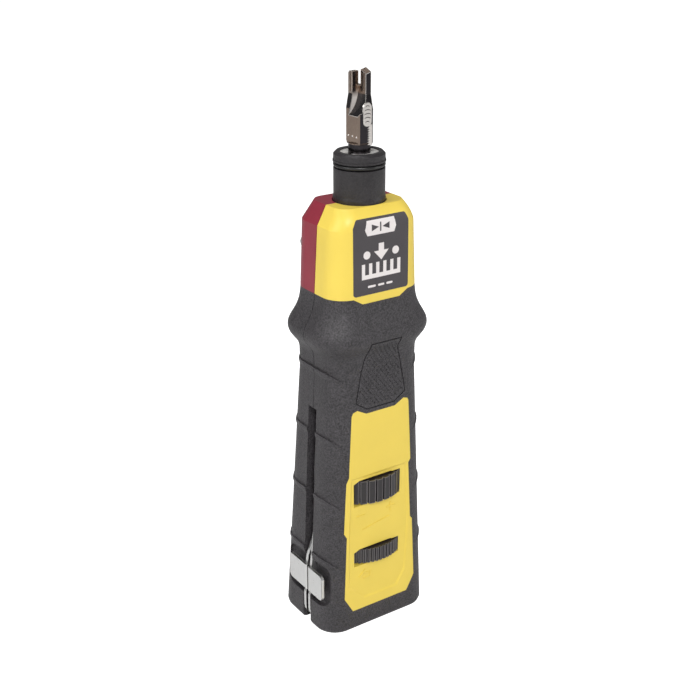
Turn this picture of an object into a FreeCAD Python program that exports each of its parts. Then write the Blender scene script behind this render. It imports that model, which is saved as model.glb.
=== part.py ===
import FreeCAD, Part
import math
import os

# Impact punch down tool: a two-part plastic housing with soft overmoulded grips, a spring
# loaded nose that carries a reversible blade, a hammer released by a sliding sear, two thumb
# wheels in the front panel and a pair of fold-out hand tools in a slot on the left side.
# Millimetres.  Origin on the tool axis in the plane of the sole, +Z towards the blade,
# -Y is the front (panel) side, -X is the side with the folding tools.

V = FreeCAD.Vector

# ------------------------------------------------------------------ housing form
GRIP_H = 122.3            # sole to the top edge of the soft grip
HEAD_H = 28.2             # grip edge to the flat top of the head
HEAD_TOP = GRIP_H + HEAD_H
SHOULDER_Z = HEAD_TOP - 6.2    # foot of the sloping shoulder
SHOULDER_STEPS = 6
SHOULDER_ROUND = 2.6      # power of the curve by which the front of the shoulder falls back
WAIST_Z = GRIP_H - 24.8   # narrowest line of the handle
BULGE_Z = GRIP_H - 12.8   # widest line of the finger stop
SOLE_ROUND = 1.6          # edge rounding round the sole

BASE_W, BASE_F, BASE_R, BASE_C = 21.8, 13.7, 19.0, 8.0      # half width, front, rear, corner
WAIST_W, WAIST_F, WAIST_R, WAIST_C = 17.5, 12.6, 14.5, 8.0
FOOT_W, FOOT_F, FOOT_R, FOOT_C = 17.2, 12.3, 13.8, 7.6      # where the head meets the grip
NECK_W, NECK_F, NECK_R, NECK_C = 15.9, 12.1, 13.7, 6.8      # foot of the shoulder
TOP_W, TOP_F, TOP_R, TOP_C = 12.6, 8.9, 10.4, 5.0           # flat top
BULGE_W, BULGE_F, BULGE_C = 4.2, 3.5, 3.4                   # how far the finger stop stands out
BULGE_LINE = [(-12, 0), (-8.5, 0.07), (-5.5, 0.35), (-2.5, 0.88), (0.2, 1.0),
              (3.2, 0.69), (7.0, 0.23), (10.5, 0.04), (13.5, 0)]   # height, share of the bulge

TPE = 1.6                 # soft grip thickness
SOLE = 1.2                # soft grip thickness under the sole
WALL = 2.0                # hard shell below the grip
HEAD_WALL = 2.4           # hard shell at the head
TOP_WALL = 3.3            # end wall of the head
FLOOR = 2.2               # end wall at the sole
RUN = 0.1                 # running clearance, radial
GAP = 0.35                # clearance round the thumb wheels

TONGUE_DROP, TONGUE_HALF, TONGUE_SLOPE = 2.0, 7.1, 3.4      # tongue under the label

# ------------------------------------------------------------------ front panel and label
PANEL_TOP, PANEL_FOOT = WAIST_Z - 13.5, 7.8
PANEL_HALF_TOP, PANEL_HALF_FOOT = 11.5, 15.1
PANEL_JOG = 0.95          # sideways step of the middle of the panel
JOG_LOW, JOG_HIGH = PANEL_FOOT + 28.8, PANEL_TOP - 24.8
PANEL_CORNER = 5.8        # cut corners at the foot
RECESS_DEPTH, RECESS_SLOPE = 0.35, 2.2    # sunk lower panel, run of its wall per mm of depth
RECESS_RIM, RECESS_RIM_FOOT = 0.6, 3.6    # rim left at the sides and at the foot
LABEL_HALF, LABEL_FOOT, LABEL_TOP = 10.6, GRIP_H + 0.7, HEAD_TOP - 2.8
LABEL_T, LABEL_ROUND = 0.6, 1.1

# ------------------------------------------------------------------ grip relief
RIB_COUNT, RIB_PITCH, RIB_BELOW_WAIST = 4, 22.6, 0.4
RIB_OUT, RIB_TALL, RIB_ROOT = 0.5, 2.3, 0.5     # stands out, fades down over, sunk into the grip
RIB_REAR_TURN, RIB_FRONT_TURN = 50, 66          # degrees that a rib runs round the corners
RIB_STEPS = 9
RIB_SINK_TURN, RIB_SINK = 12, 3.6               # where its front end starts to fall, how far
PAD_HALF = [(6.0, 10.1), (6.1, 6.5), (7.2, 3.0), (8.0, 0.0), (8.6, -3.5), (10.0, -10.5),
            (9.7, -11.3), (5.5, -14.0)]   # half width and height above the waist, none in line
PAD_GROOVE, PAD_GROOVE_DEPTH = 0.4, 0.4
PARTING_W, PARTING_DEPTH = 0.24, 0.3            # joint line between the two halves

# ------------------------------------------------------------------ thumb wheels
WINDOW_LEFT, WINDOW_RIGHT = -10.7, 6.9
WINDOW_CUT = 2.4          # cut corners of the windows
WHEEL_R = 14.9
DIAL_LOW, DIAL_H = PANEL_TOP - 35.1, 8.4
DIAL_TEETH, DIAL_TOOTH, DIAL_LAND = 32, 0.8, 0.70
LOCK_LOW, LOCK_H = DIAL_LOW - 23.3, 5.3
LOCK_TEETH, LOCK_TOOTH, LOCK_LAND = 60, 0.5, 0.46    # land: flat share of a tooth
WINDOW_ABOVE = 0.6        # window edge above and below a wheel
HUB_R = 5.0
HUB_DROP = 5.0
SCREW_H = 5.7             # adjusting thread above the dial

# ------------------------------------------------------------------ nose and mechanism
STROKE = 10.0
COLLAR_R, COLLAR_FOOT_R, COLLAR_BORE = 8.2, 8.4, 6.2
COLLAR_H = 15.5           # collar standing out of the head
COLLAR_FOOT_H = 2.0
COLLAR_CHAMFER = 0.8
CAP_H, CAP_LIP_R, CAP_LIP_H = 3.2, 8.4, 0.6     # cap above the ring groove, and its lip
RING_GROOVE_H, RING_GROOVE_R = 1.9, 7.05
O_RING_WIRE = 0.6         # wire radius of the rubber ring in the groove
FLANGE_R, FLANGE_H = 9.4, 2.4
BUSH_R, BUSH_H, BUSH_BELOW_TOP = 9.4, 4.0, 4.5
BUSH_LIP, BUSH_LIP_H = 0.9, 1.6
SOCKET_SINK, SOCKET_H = 0.5, 24.5
ROD_R, ROD_TIP_R, ROD_TIP_H = 3.5, 2.2, 2.5
SPIGOT_R, SPIGOT_H = 2.0, 4.0
SHELF_H = 4.5             # rib that carries the return spring and guides the rod
SHELF_BELOW_FLANGE = 17.3
SEAR_T, SEAR_W = 1.5, 6.4
SEAR_TRAVEL = 1.2
SEAR_BELOW_SHELF = 18.5   # shelf underside to the top face of the sear plate
HAMMER_R, HAMMER_H = 8.0, 16.0
HAMMER_ABOVE_SEAR = 2.0
HAMMER_SPIGOT_R, HAMMER_SPIGOT_H = 4.6, 3.0
GUIDE_T = 2.0
SEAT_R, SEAT_H, SEAT_LIFT = 7.6, 2.5, 3.0
SEAT_LUG, SEAT_LUG_W = 10.4, 3.2
SEAT_CLEAR = 0.6
LOCK_RING_R, LOCK_RING_H = 4.6, 1.6   # split ring that grips the blade shank
SEAR_TAIL = -4.6          # inner end of the sear plate

MAIN_COIL_R, MAIN_WIRE, MAIN_TURNS = 6.2, 0.8, 5
RETURN_COIL_R, RETURN_WIRE, RETURN_TURNS = 7.3, 0.6, 5
SEAR_COIL_R, SEAR_WIRE, SEAR_TURNS = 0.45, 0.14, 5
COIL_STEPS, COIL_SIDES = 16, 6     # facets per turn and round the wire

# ------------------------------------------------------------------ blade
BLADE_OUT = 25.2          # blade standing out of the collar
BLADE_W, BLADE_T = 7.6, 4.8
BLADE_NECK_W, BLADE_NECK_T = 6.3, 3.9
BLADE_CLEAR, BLADE_BODY_H, BLADE_TAPER_H = 2.0, 12.8, 4.6     # above the collar rim
PRONG_SLOT_H = 5.4        # depth of the slot between the two staggered prongs
PRONG_FRONT, PRONG_REAR = -0.5, 1.05    # walls of the slot in y
PRONG_NEAR, PRONG_FAR = 0.1, 0.18       # left face of the front prong, right face of the rear
REAR_PRONG_DROP = 1.1     # how far the rear prong stays below the tip of the front one
BEVEL_IN, BEVEL_FALL = 0.32, 0.40       # slopes of the cutting bevel in x and y
BLADE_SHANK_R = 3.5
BLADE_LUG, BLADE_LUG_W, BLADE_LUG_H = 4.7, 2.0, 2.2
BLADE_LENGTH = 39.9
SCOOP_FOOT, SCOOP_TOP = 14.4, 7.2       # hollow of the left face, down from the tip
SCOOP_HALF, SCOOP_LIP_H = 2.4, 1.8      # half width at its foot, rise of its front lip
PRONG_GROOVE_R, PRONG_GROOVE_Y = 0.5, 1.9     # half-round channel up the rear prong
FOOT_CUT = 0.9            # cut corners at the lower end of the blade body

# ------------------------------------------------------------------ folding tools
FOLD_X, FOLD_Z = 6.3 - BASE_W, 6.0      # pivot
FOLD_T = 1.3
FOLD_GAP = 1.2                   # washer between the two tools
FOLD_FRONT = -1.9                # front wall of the slot
FOLD_SIDE = 0.1                  # side play of the stack
FOLD_SPACER = 0.8                # spacer behind the rear tool
FOLD_OUT = 5.4                   # outer edge at the tab, measured out from the pivot
FOLD_BUTT, FOLD_BUTT_OUT = 5.7, 6.2      # reach of the butt below and inside, and outside
FOLD_TOP = PANEL_TOP - 3.5
FOLD_EASE = 0.3                  # clearance of the slot floor
FOLD_FLOOR = -(WHEEL_R + GAP + 0.35)    # slot floor just outside the thumb wheels
FOLD_NECK_Z, FOLD_NECK_W = DIAL_LOW + DIAL_H + 1.0, 1.0      # narrowest, beside the dial
SPUDGER_NECK_Z = 36.0            # where the rear tool is drawn in, out of sight
FOLD_LEAN = 2.2                  # how far the tips lean in above the dial
FOLD_TIP_W = 1.6
FOLD_ROOT_H = 10.5               # inner edge meets the butt this high above the pivot
FOLD_SHOULDER, FOLD_SHOULDER_H = 0.4, 3.0       # step in above the thumb tab
FOLD_STEP = 1.6                  # height of the step out to the butt, below the tab
# working ends: distance out from the inner edge at the tip, distance below the tip
HOOK_END = [(FOLD_TIP_W + 0.5, 6.0), (FOLD_TIP_W, 1.2), (FOLD_TIP_W - 0.6, 0.0), (0.25, 0.0),
            (0.25, 3.4), (0.85, 3.4), (0.95, 5.2), (0.85, 6.6)]
SPUDGER_END = [(FOLD_TIP_W + 0.5, 6.0), (FOLD_TIP_W - 0.1, 0.8), (FOLD_TIP_W - 0.5, 0.0),
               (0.4, 0.0), (0.0, 0.8)]
TAB_T, TAB_LOW, TAB_H = 1.0, 13.4, 9.6
TAB_FRONT, TAB_REAR, TAB_SEAM = 9.1, 11.1, 0.5  # length of each thumb tab, gap between them
TAB_ROUND, TAB_BEND = 1.7, 0.8   # free corners, outside of the bend
PIN_R = 1.5
WASHER_R = 3.2
LINER, CHANNEL_WALL = 0.9, 1.0   # soft lining of the slot and scoop, hard wall behind it
SCALLOP_DEPTH, SCALLOP_LOW, SCALLOP_TOP = 2.2, 10.4, 26.5
SCALLOP_FRONT, SCALLOP_REAR = -11.8, 13.4

# ------------------------------------------------------------------ spare blade store, screws
SLEEVE_R, SLEEVE_BORE = 5.9, 5.0
SLEEVE_FOOT = 0.4
SLEEVE_CAP = 1.2
SPARE_FOOT = 0.9
SCREW_R, SCREW_HEAD_R, SCREW_HEAD_H = 1.1, 2.3, 1.6
BOSS_R = 2.6
HEAD_SCREWS = [(3.5 - NECK_W, GRIP_H + 13.7), (NECK_W - 3.5, GRIP_H + 13.7)]
GRIP_SCREWS = [(10.0 - BASE_W, DIAL_LOW - 9.3), (BASE_W - 10.0, DIAL_LOW - 9.3),
               (BASE_W - 9.8, 12.0)]
HEAD_SCREW_SINK, GRIP_SCREW_SINK = 3.3, 4.2     # head seat below the rear face
SCREW_REACH = 16.0        # from the head seat to the tip of the screw
PIVOT_BOSS_R = 3.4
PIN_ENDS = (-BASE_F + TPE + WALL, BASE_R - TPE - WALL - 2)

# ------------------------------------------------------------------ derived heights
COLLAR_TOP = HEAD_TOP + COLLAR_H
BUSH_TOP = HEAD_TOP - BUSH_BELOW_TOP
BUSH_FOOT = BUSH_TOP - BUSH_H
FLANGE_TOP = BUSH_FOOT - RUN
FLANGE_FOOT = FLANGE_TOP - FLANGE_H
SHELF_TOP = FLANGE_FOOT - SHELF_BELOW_FLANGE
SHELF_FOOT = SHELF_TOP - SHELF_H
SEAR_TOP = SHELF_FOOT - SEAR_BELOW_SHELF
SEAR_FOOT = SEAR_TOP - SEAR_T
HAMMER_TOP = SEAR_TOP + HAMMER_ABOVE_SEAR
HAMMER_FOOT = HAMMER_TOP - HAMMER_H
SOCKET_TOP = COLLAR_TOP - SOCKET_SINK
SOCKET_FOOT = SOCKET_TOP - SOCKET_H
DIAL_TOP = DIAL_LOW + DIAL_H
LOCK_TOP = LOCK_LOW + LOCK_H
SEAT_FOOT = DIAL_TOP + SEAT_CLEAR
SEAT_TOP = SEAT_FOOT + SEAT_H
HUB_FOOT = DIAL_LOW - HUB_DROP
BLADE_TIP = COLLAR_TOP + BLADE_OUT
BLADE_FOOT = BLADE_TIP - BLADE_LENGTH
SPARE_DROP = BLADE_FOOT - SPARE_FOOT
SLEEVE_TOP = HUB_FOOT - 0.5
LOCK_RING_Z = BLADE_FOOT + 5.6
RING_GROOVE_Z = COLLAR_TOP - CAP_H - RING_GROOVE_H
FAR = 60.0                # beyond every outer face


# ------------------------------------------------------------------ simple solids
def box(x0, x1, y0, y1, z0, z1):
    return Part.makeBox(x1 - x0, y1 - y0, z1 - z0, V(x0, y0, z0))


def cyl(radius, z0, z1, x=0.0, y=0.0):
    return Part.makeCylinder(radius, z1 - z0, V(x, y, z0))


def cyl_y(radius, x, z, y0, y1):
    return Part.makeCylinder(radius, y1 - y0, V(x, y0, z), V(0, 1, 0))


def tube(outer, inner, z0, z1):
    return cyl(outer, z0, z1).cut(cyl(inner, z0 - 1, z1 + 1))


def prism_y(outline, y0, y1):
    """Outline of (x, z) points carried along Y."""
    points = [V(x, y0, z) for x, z in outline]
    face = Part.Face(Part.makePolygon(points + points[:1]))
    return face.extrude(V(0, y1 - y0, 0))


def prism_x(outline, x0, x1):
    """Outline of (y, z) points carried along X."""
    points = [V(x0, y, z) for y, z in outline]
    face = Part.Face(Part.makePolygon(points + points[:1]))
    return face.extrude(V(x1 - x0, 0, 0))


def join(shapes):
    first, rest = shapes[0], shapes[1:]
    return first.fuse(rest).removeSplitter() if rest else first


def toothed(radius, teeth, depth, land, z0, z1):
    """Disc with a scalloped rim: flat-topped teeth with sloping flanks."""
    points = []
    flank = 0.3 * (1 - land)
    for tooth in range(teeth):
        for share, drop in ((0.0, depth), (1 - land - 2 * flank, depth),
                            (1 - land - flank, 0.0), (1 - flank, 0.0)):
            turn = 2 * math.pi * (tooth + share) / teeth
            reach = radius - drop
            points.append(V(reach * math.cos(turn), reach * math.sin(turn), z0))
    face = Part.Face(Part.makePolygon(points + points[:1]))
    return face.extrude(V(0, 0, z1 - z0))


def coil(radius, wire, turns, z0, z1):
    """Helical spring of faceted wire whose first and last turn touch the planes z0 and z1."""
    steps = turns * COIL_STEPS
    rings = []
    for step in range(steps + 1):
        turn = 2 * math.pi * step / COIL_STEPS
        height = z0 + wire + (z1 - z0 - 2 * wire) * step / steps
        ring = []
        for side in range(COIL_SIDES):
            around = math.pi * (0.5 + 2 * side / COIL_SIDES)
            reach = radius + wire * math.cos(around)
            ring.append(V(reach * math.cos(turn), reach * math.sin(turn),
                          height + wire * math.sin(around)))
        rings.append(ring)
    facets = [rings[0][::-1], rings[-1]]
    for low, high in zip(rings, rings[1:]):
        for side in range(COIL_SIDES):
            following = (side + 1) % COIL_SIDES
            facets.append([low[side], low[following], high[following]])
            facets.append([low[side], high[following], high[side]])
    faces = [Part.Face(Part.makePolygon(facet + facet[:1])) for facet in facets]
    return Part.makeSolid(Part.makeShell(faces))


def save(name, shape):
    solids = shape.Solids
    whole = solids[0] if len(solids) == 1 else Part.makeCompound(solids)
    whole.exportStep("parts/" + name + ".step")
    print(name, len(solids), round(whole.Volume, 2), whole.isValid())


# ------------------------------------------------------------------ handle form
def blend(low, high, share):
    return [a + (b - a) * share for a, b in zip(low, high)]


def row_at(z):
    """Half width, front depth, rear depth and corner radius of the handle at a height."""
    rows = [(0.0, [BASE_W, BASE_F, BASE_R, BASE_C]),
            (WAIST_Z, [WAIST_W, WAIST_F, WAIST_R, WAIST_C]),
            (GRIP_H, [FOOT_W, FOOT_F, FOOT_R, FOOT_C]),
            (SHOULDER_Z, [NECK_W, NECK_F, NECK_R, NECK_C])]
    for (z0, low), (z1, high) in zip(rows, rows[1:]):
        if z <= z1:
            return blend(low, high, (z - z0) / (z1 - z0))
    share = (z - SHOULDER_Z) / (HEAD_TOP - SHOULDER_Z)
    back = share ** SHOULDER_ROUND
    return [NECK_W + (TOP_W - NECK_W) * share, NECK_F + (TOP_F - NECK_F) * back,
            NECK_R + (TOP_R - NECK_R) * share, NECK_C + (TOP_C - NECK_C) * share]


def sole_stations():
    """(z, row) pairs of the straight lower handle, with the rounded edge of the sole."""
    sole = row_at(0.0)
    return [(0.0, [size - SOLE_ROUND for size in sole]),
            (0.3 * SOLE_ROUND, [size - 0.29 * SOLE_ROUND for size in sole]),
            (SOLE_ROUND, row_at(SOLE_ROUND)),
            (BULGE_Z + BULGE_LINE[0][0], row_at(BULGE_Z + BULGE_LINE[0][0]))]


def bulge_stations():
    stations = []
    for offset, share in BULGE_LINE:
        w, f, r, c = row_at(BULGE_Z + offset)
        stations.append((BULGE_Z + offset, [w + BULGE_W * share, f + BULGE_F * share,
                                            r + BULGE_F * share, c + BULGE_C * share]))
    return stations


def head_stations():
    return [(z, row_at(z)) for z in (BULGE_Z + BULGE_LINE[-1][0], SHOULDER_Z)]


def shoulder_stations():
    rise = (HEAD_TOP - SHOULDER_Z) / SHOULDER_STEPS
    return [(SHOULDER_Z + rise * step, row_at(SHOULDER_Z + rise * step))
            for step in range(SHOULDER_STEPS + 1)]


def section(z, row, inset):
    """Rounded rectangle, deeper to the rear than to the front, as one closed wire."""
    w, f, r, c = [size - inset for size in row]
    c = max(c, 1.0)
    k = c * math.sqrt(0.5)
    corners = [(w - c, -f + c, 1, -1), (w - c, r - c, 1, 1),
               (-w + c, r - c, -1, 1), (-w + c, -f + c, -1, -1)]
    edges = []
    for index, (x, y, sx, sy) in enumerate(corners):
        across, along = V(x + sx * c, y, z), V(x, y + sy * c, z)
        start, end = (along, across) if index % 2 == 0 else (across, along)
        edges.append(Part.Arc(start, V(x + sx * k, y + sy * k, z), end).toShape())
    wire = []
    for index, arc in enumerate(edges):
        following = edges[(index + 1) % 4]
        wire += [arc, Part.makeLine(arc.lastVertex().Point, following.firstVertex().Point)]
    return Part.Wire(wire)


def form(inset):
    """Whole handle, or the handle shrunk by inset: straight foot, bulge, head, shoulder."""
    parts = [(sole_stations(), True), (bulge_stations(), False),
             (head_stations(), True), (shoulder_stations(), False)]
    lofts = [Part.makeLoft([section(z, row, inset) for z, row in stations], True, ruled)
             for stations, ruled in parts]
    return lofts[0].fuse(lofts[1:])


def slab(z0, z1):
    return box(-FAR, FAR, -FAR, FAR, z0, z1)


# ------------------------------------------------------------------ outlines on the faces
def half_width(z):
    share = (z - PANEL_FOOT) / (PANEL_TOP - PANEL_FOOT)
    return PANEL_HALF_FOOT + (PANEL_HALF_TOP - PANEL_HALF_FOOT) * share


def panel_outline(jog):
    """Hard panel left free by the grip; jog shifts its middle third to the left."""
    foot = PANEL_FOOT + PANEL_CORNER
    step = 1.1
    right = [(half_width(foot), foot), (half_width(JOG_LOW), JOG_LOW),
             (half_width(JOG_LOW) - jog, JOG_LOW + step), (half_width(JOG_HIGH) - jog, JOG_HIGH),
             (half_width(JOG_HIGH), JOG_HIGH + step), (PANEL_HALF_TOP, PANEL_TOP - 1.6),
             (PANEL_HALF_TOP - 0.5, PANEL_TOP - 0.5), (PANEL_HALF_TOP - 2.2, PANEL_TOP),
             (PANEL_HALF_TOP - 5.7, PANEL_TOP - 1.9)]
    left = [(-half_width(foot), foot), (-half_width(JOG_LOW), JOG_LOW + step),
            (-half_width(JOG_LOW) - jog, JOG_LOW + 2.6 * step),
            (-half_width(JOG_HIGH) - jog, JOG_HIGH - step),
            (-half_width(JOG_HIGH), JOG_HIGH + step),
            (-PANEL_HALF_TOP, PANEL_TOP - 1.6), (-PANEL_HALF_TOP + 0.5, PANEL_TOP - 0.5),
            (-PANEL_HALF_TOP + 2.2, PANEL_TOP), (-PANEL_HALF_TOP + 5.7, PANEL_TOP - 1.9)]
    feet = [(-half_width(foot) + 3.3, PANEL_FOOT), (half_width(foot) - 3.3, PANEL_FOOT)]
    return feet + right + left[::-1]


def label_outline():
    half = [(LABEL_HALF, LABEL_FOOT), (LABEL_HALF, LABEL_TOP - 2.5),
            (LABEL_HALF - 1.3, LABEL_TOP)]
    return half + [(-x, z) for x, z in half[::-1]]


def inset_outline(outline, inset):
    """Convex outline with every edge moved inwards (outwards where inset is negative)."""
    area = sum(a[0] * b[1] - b[0] * a[1] for a, b in zip(outline, outline[1:] + outline[:1]))
    lines = []
    for (x0, z0), (x1, z1) in zip(outline, outline[1:] + outline[:1]):
        length = math.copysign(math.hypot(x1 - x0, z1 - z0), area)
        nx, nz = (z0 - z1) / length, (x1 - x0) / length
        lines.append((nx, nz, nx * x0 + nz * z0 + inset))
    points = []
    for (a, b, e), (c, d, f) in zip(lines[-1:] + lines[:-1], lines):
        points.append(((e * d - b * f) / (a * d - b * c), (a * f - e * c) / (a * d - b * c)))
    return points


def recess_outline():
    """Sunk field round the wheels, a step below the upper panel."""
    low, high, foot = JOG_LOW, JOG_HIGH + 0.3, PANEL_FOOT + RECESS_RIM_FOOT
    right, left = RECESS_RIM + PANEL_JOG, RECESS_RIM
    return [(PANEL_CORNER + 2.4 - half_width(foot), foot),
            (half_width(foot) - PANEL_CORNER - 1.8, foot),
            (half_width(foot) - right - 2.4, foot + PANEL_CORNER),
            (half_width(low) - right, low), (half_width(high) - right, high),
            (left - half_width(high), high), (left - half_width(low), low),
            (left + 1.0 - half_width(foot), foot + PANEL_CORNER)]


def recess():
    """Cut for the sunk field: sloping walls all round, floor parallel to the panel."""
    wires = []
    for depth in (-1.0, 2.0):
        outline = inset_outline(recess_outline(), RECESS_SLOPE * depth)
        points = [V(x, depth - row_at(z)[1], z) for x, z in outline]
        wires.append(Part.makePolygon(points + points[:1]))
    return Part.makeLoft(wires, True, True).cut(form(RECESS_DEPTH))


def pad_groove():
    """Fine groove round the thumb pad."""
    right = [(x, WAIST_Z + z) for x, z in PAD_HALF]
    outline = right + [(-x, z) for x, z in right[::-1]]
    ring = prism_y(outline, -FAR, 0).cut(prism_y(inset_outline(outline, PAD_GROOVE), -FAR, 0))
    return ring.cut(form(PAD_GROOVE_DEPTH))


def parting_groove():
    """Fine groove all round where the front and rear halves meet."""
    half = PARTING_W / 2
    return box(-FAR, FAR, -half, half, -1, HEAD_TOP + 1).cut(form(PARTING_DEPTH))


def rib(crest, side):
    """Ridge round one side of the grip: crisp upper edge, fading downwards and at the front."""
    stops = [(RIB_REAR_TURN, 0.0), (RIB_REAR_TURN / 2, 0.0), (0, 0.0), (0, 0.33), (0, 0.67)]
    stops += [(-RIB_FRONT_TURN * step / RIB_STEPS, 1.0) for step in range(RIB_STEPS + 1)]
    wires = []
    for turn, share in stops:
        fade = max(0.0, (-turn - RIB_SINK_TURN) / (RIB_FRONT_TURN - RIB_SINK_TURN))
        size = 1.0 - 0.9 * fade ** 2
        points = []
        for out, down in ((RIB_OUT * size, 0.0), (0.9 * RIB_OUT * size, 0.4), (0.0, 1.0),
                          (-RIB_ROOT, 1.0), (-RIB_ROOT, 0.0)):
            z = crest - RIB_SINK * fade ** 1.6 - RIB_TALL * size * down
            w, f, r, c = row_at(z)
            middle = (r - c) * (1 - share) + (c - f) * share
            points.append(V(side * (w - c + (c + out) * math.cos(math.radians(turn))),
                            middle + (c + out) * math.sin(math.radians(turn)), z))
        wires.append(Part.makePolygon(points + points[:1]))
    return Part.makeLoft(wires, True, True)


def ribs():
    first = WAIST_Z - RIB_BELOW_WAIST
    return [rib(first - RIB_PITCH * row, side) for row in range(RIB_COUNT) for side in (-1, 1)]


def window_outline(z0, z1):
    left, right, rise = WINDOW_LEFT, WINDOW_RIGHT, 0.4 * WINDOW_CUT
    return [(left, z0), (right, z0), (right, z1 - rise), (right - WINDOW_CUT, z1),
            (left + WINDOW_CUT, z1), (left, z1 - rise)]


def hard_zone():
    """Everything outside the soft grip: the head, a tongue under the label, both panels."""
    wide = TONGUE_HALF + TONGUE_SLOPE
    tongue = prism_y([(-wide, GRIP_H + 1), (-wide, GRIP_H), (-TONGUE_HALF, GRIP_H - TONGUE_DROP),
                      (TONGUE_HALF, GRIP_H - TONGUE_DROP), (wide, GRIP_H), (wide, GRIP_H + 1)],
                     -FAR, FAR)
    front = prism_y(panel_outline(PANEL_JOG), -FAR, 0)
    rear = prism_y(panel_outline(0.0), 0, FAR)
    return join([slab(GRIP_H, HEAD_TOP + FAR), tongue, front, rear])


# ------------------------------------------------------------------ folding tool slot
FOLD_LAYERS = {
    "hook_tool": FOLD_FRONT + FOLD_SIDE,
    "spudger_tool": FOLD_FRONT + FOLD_SIDE + FOLD_T + FOLD_GAP,
}
FOLD_BACK = FOLD_LAYERS["spudger_tool"] + FOLD_T + FOLD_SPACER + FOLD_SIDE


def fold_slot(grow):
    """Cut for the folded tools, open to the left side and through the corner of the sole."""
    heel = FOLD_X + FOLD_BUTT_OUT + 0.5
    outline = [(-FAR, -FAR), (heel, -FAR), (heel, FOLD_Z + 3), (FOLD_X + 3.4, FOLD_Z + 6.5),
               (FOLD_FLOOR, FOLD_Z + 12), (FOLD_FLOOR, FOLD_NECK_Z),
               (FOLD_FLOOR + FOLD_LEAN, FOLD_TOP), (FOLD_FLOOR + FOLD_LEAN, FOLD_TOP + 2),
               (-FAR, FOLD_TOP + 2)]
    return prism_y(inset_outline(outline, -grow), FOLD_FRONT - grow, FOLD_BACK + grow)


def screw_places():
    """(x, z, y of the head seat) of the screws, which are driven in from the rear."""
    groups = ((HEAD_SCREWS, HEAD_SCREW_SINK), (GRIP_SCREWS, GRIP_SCREW_SINK))
    return [(x, z, row_at(z)[2] - sink) for places, sink in groups for x, z in places]


def scallop(grow):
    """Finger scoop round the thumb tabs."""
    floor = SCALLOP_DEPTH + grow - row_at(TAB_LOW + TAB_H / 2)[0]
    block = box(-FAR, floor, SCALLOP_FRONT - grow, SCALLOP_REAR + grow,
                SCALLOP_LOW - grow, SCALLOP_TOP + grow)
    rims = [edge for edge in block.Edges if abs(edge.BoundBox.XLength) > FAR / 2]
    block = block.makeFillet(5.0, rims)
    lips = [edge for edge in block.Edges if abs(edge.BoundBox.XMin - floor) < 1e-6]
    return block.makeFillet(1.2, lips)


# ------------------------------------------------------------------ housing
def inner_ribs():
    """Ribs, bosses and the slot channel that stand inside the shells."""
    keyway = HAMMER_R + 2.6
    pieces = [
        slab(BUSH_FOOT + 0.4, BUSH_TOP - 0.4).cut(cyl(BUSH_R, 0, HEAD_TOP)),
        slab(SHELF_FOOT, SHELF_TOP).cut(cyl(ROD_R + RUN, 0, HEAD_TOP)),
        slab(HUB_FOOT + 0.7, DIAL_LOW - 0.5).cut(cyl(HUB_R + RUN, 0, HEAD_TOP)),
        slab(LOCK_TOP + 0.6, LOCK_TOP + 0.6 + GUIDE_T),
        slab(LOCK_LOW - 0.4 - 1.8 * GUIDE_T, LOCK_LOW - 0.4),
    ]
    for centre in (HAMMER_TOP - 5, HAMMER_FOOT + 2.5, HAMMER_FOOT - STROKE + 3.5):
        guide = slab(centre - GUIDE_T / 2, centre + GUIDE_T / 2)
        guide = guide.cut(cyl(HAMMER_R + RUN, 0, HEAD_TOP))
        pieces.append(guide.cut(box(0, keyway, -SEAR_W / 2 - 0.3, SEAR_W / 2 + 0.3, 0, HEAD_TOP)))
    trip_foot = SEAR_FOOT - STROKE - 1.0
    trip = [(HAMMER_R + 1.3, trip_foot), (FAR, trip_foot), (FAR, trip_foot + 5.5),
            (HAMMER_R + 2.6, trip_foot + 5.5)]
    pieces.append(prism_y(trip, -2.0, 2.0))
    for side in (-1, 1):
        for low in (SEAT_LUG_W / 2 + 0.2, -SEAT_LUG_W / 2 - 1.6):
            ends = sorted((side * (SEAT_R + 1.0), side * FAR))
            pieces.append(box(ends[0], ends[1], low, low + 1.4, SEAT_FOOT, SEAT_TOP + SEAT_LIFT))
    pieces += [cyl_y(BOSS_R, x, z, -FAR, FAR) for x, z, seat in screw_places()]
    pieces.append(cyl_y(PIVOT_BOSS_R, FOLD_X, FOLD_Z, -FAR, FAR))
    around = LINER + CHANNEL_WALL
    front, back = FOLD_FRONT - around, FOLD_BACK + around
    pieces.append(box(-FAR, FOLD_FLOOR + around, front, back, 0, FOLD_NECK_Z))
    pieces.append(box(-FAR, FOLD_FLOOR + FOLD_LEAN + around, front, back, FOLD_NECK_Z,
                      FOLD_TOP + 2 + around))
    pieces.append(box(-FAR, FOLD_X + FOLD_BUTT_OUT + FOLD_EASE + around, front, back,
                      0, FOLD_Z + 9))
    scoop_back = SCALLOP_DEPTH + around - row_at(TAB_LOW + TAB_H / 2)[0]
    pieces.append(box(-FAR, scoop_back, SCALLOP_FRONT - around, SCALLOP_REAR + around,
                      0, SCALLOP_TOP + around))
    return join(pieces)


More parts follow.
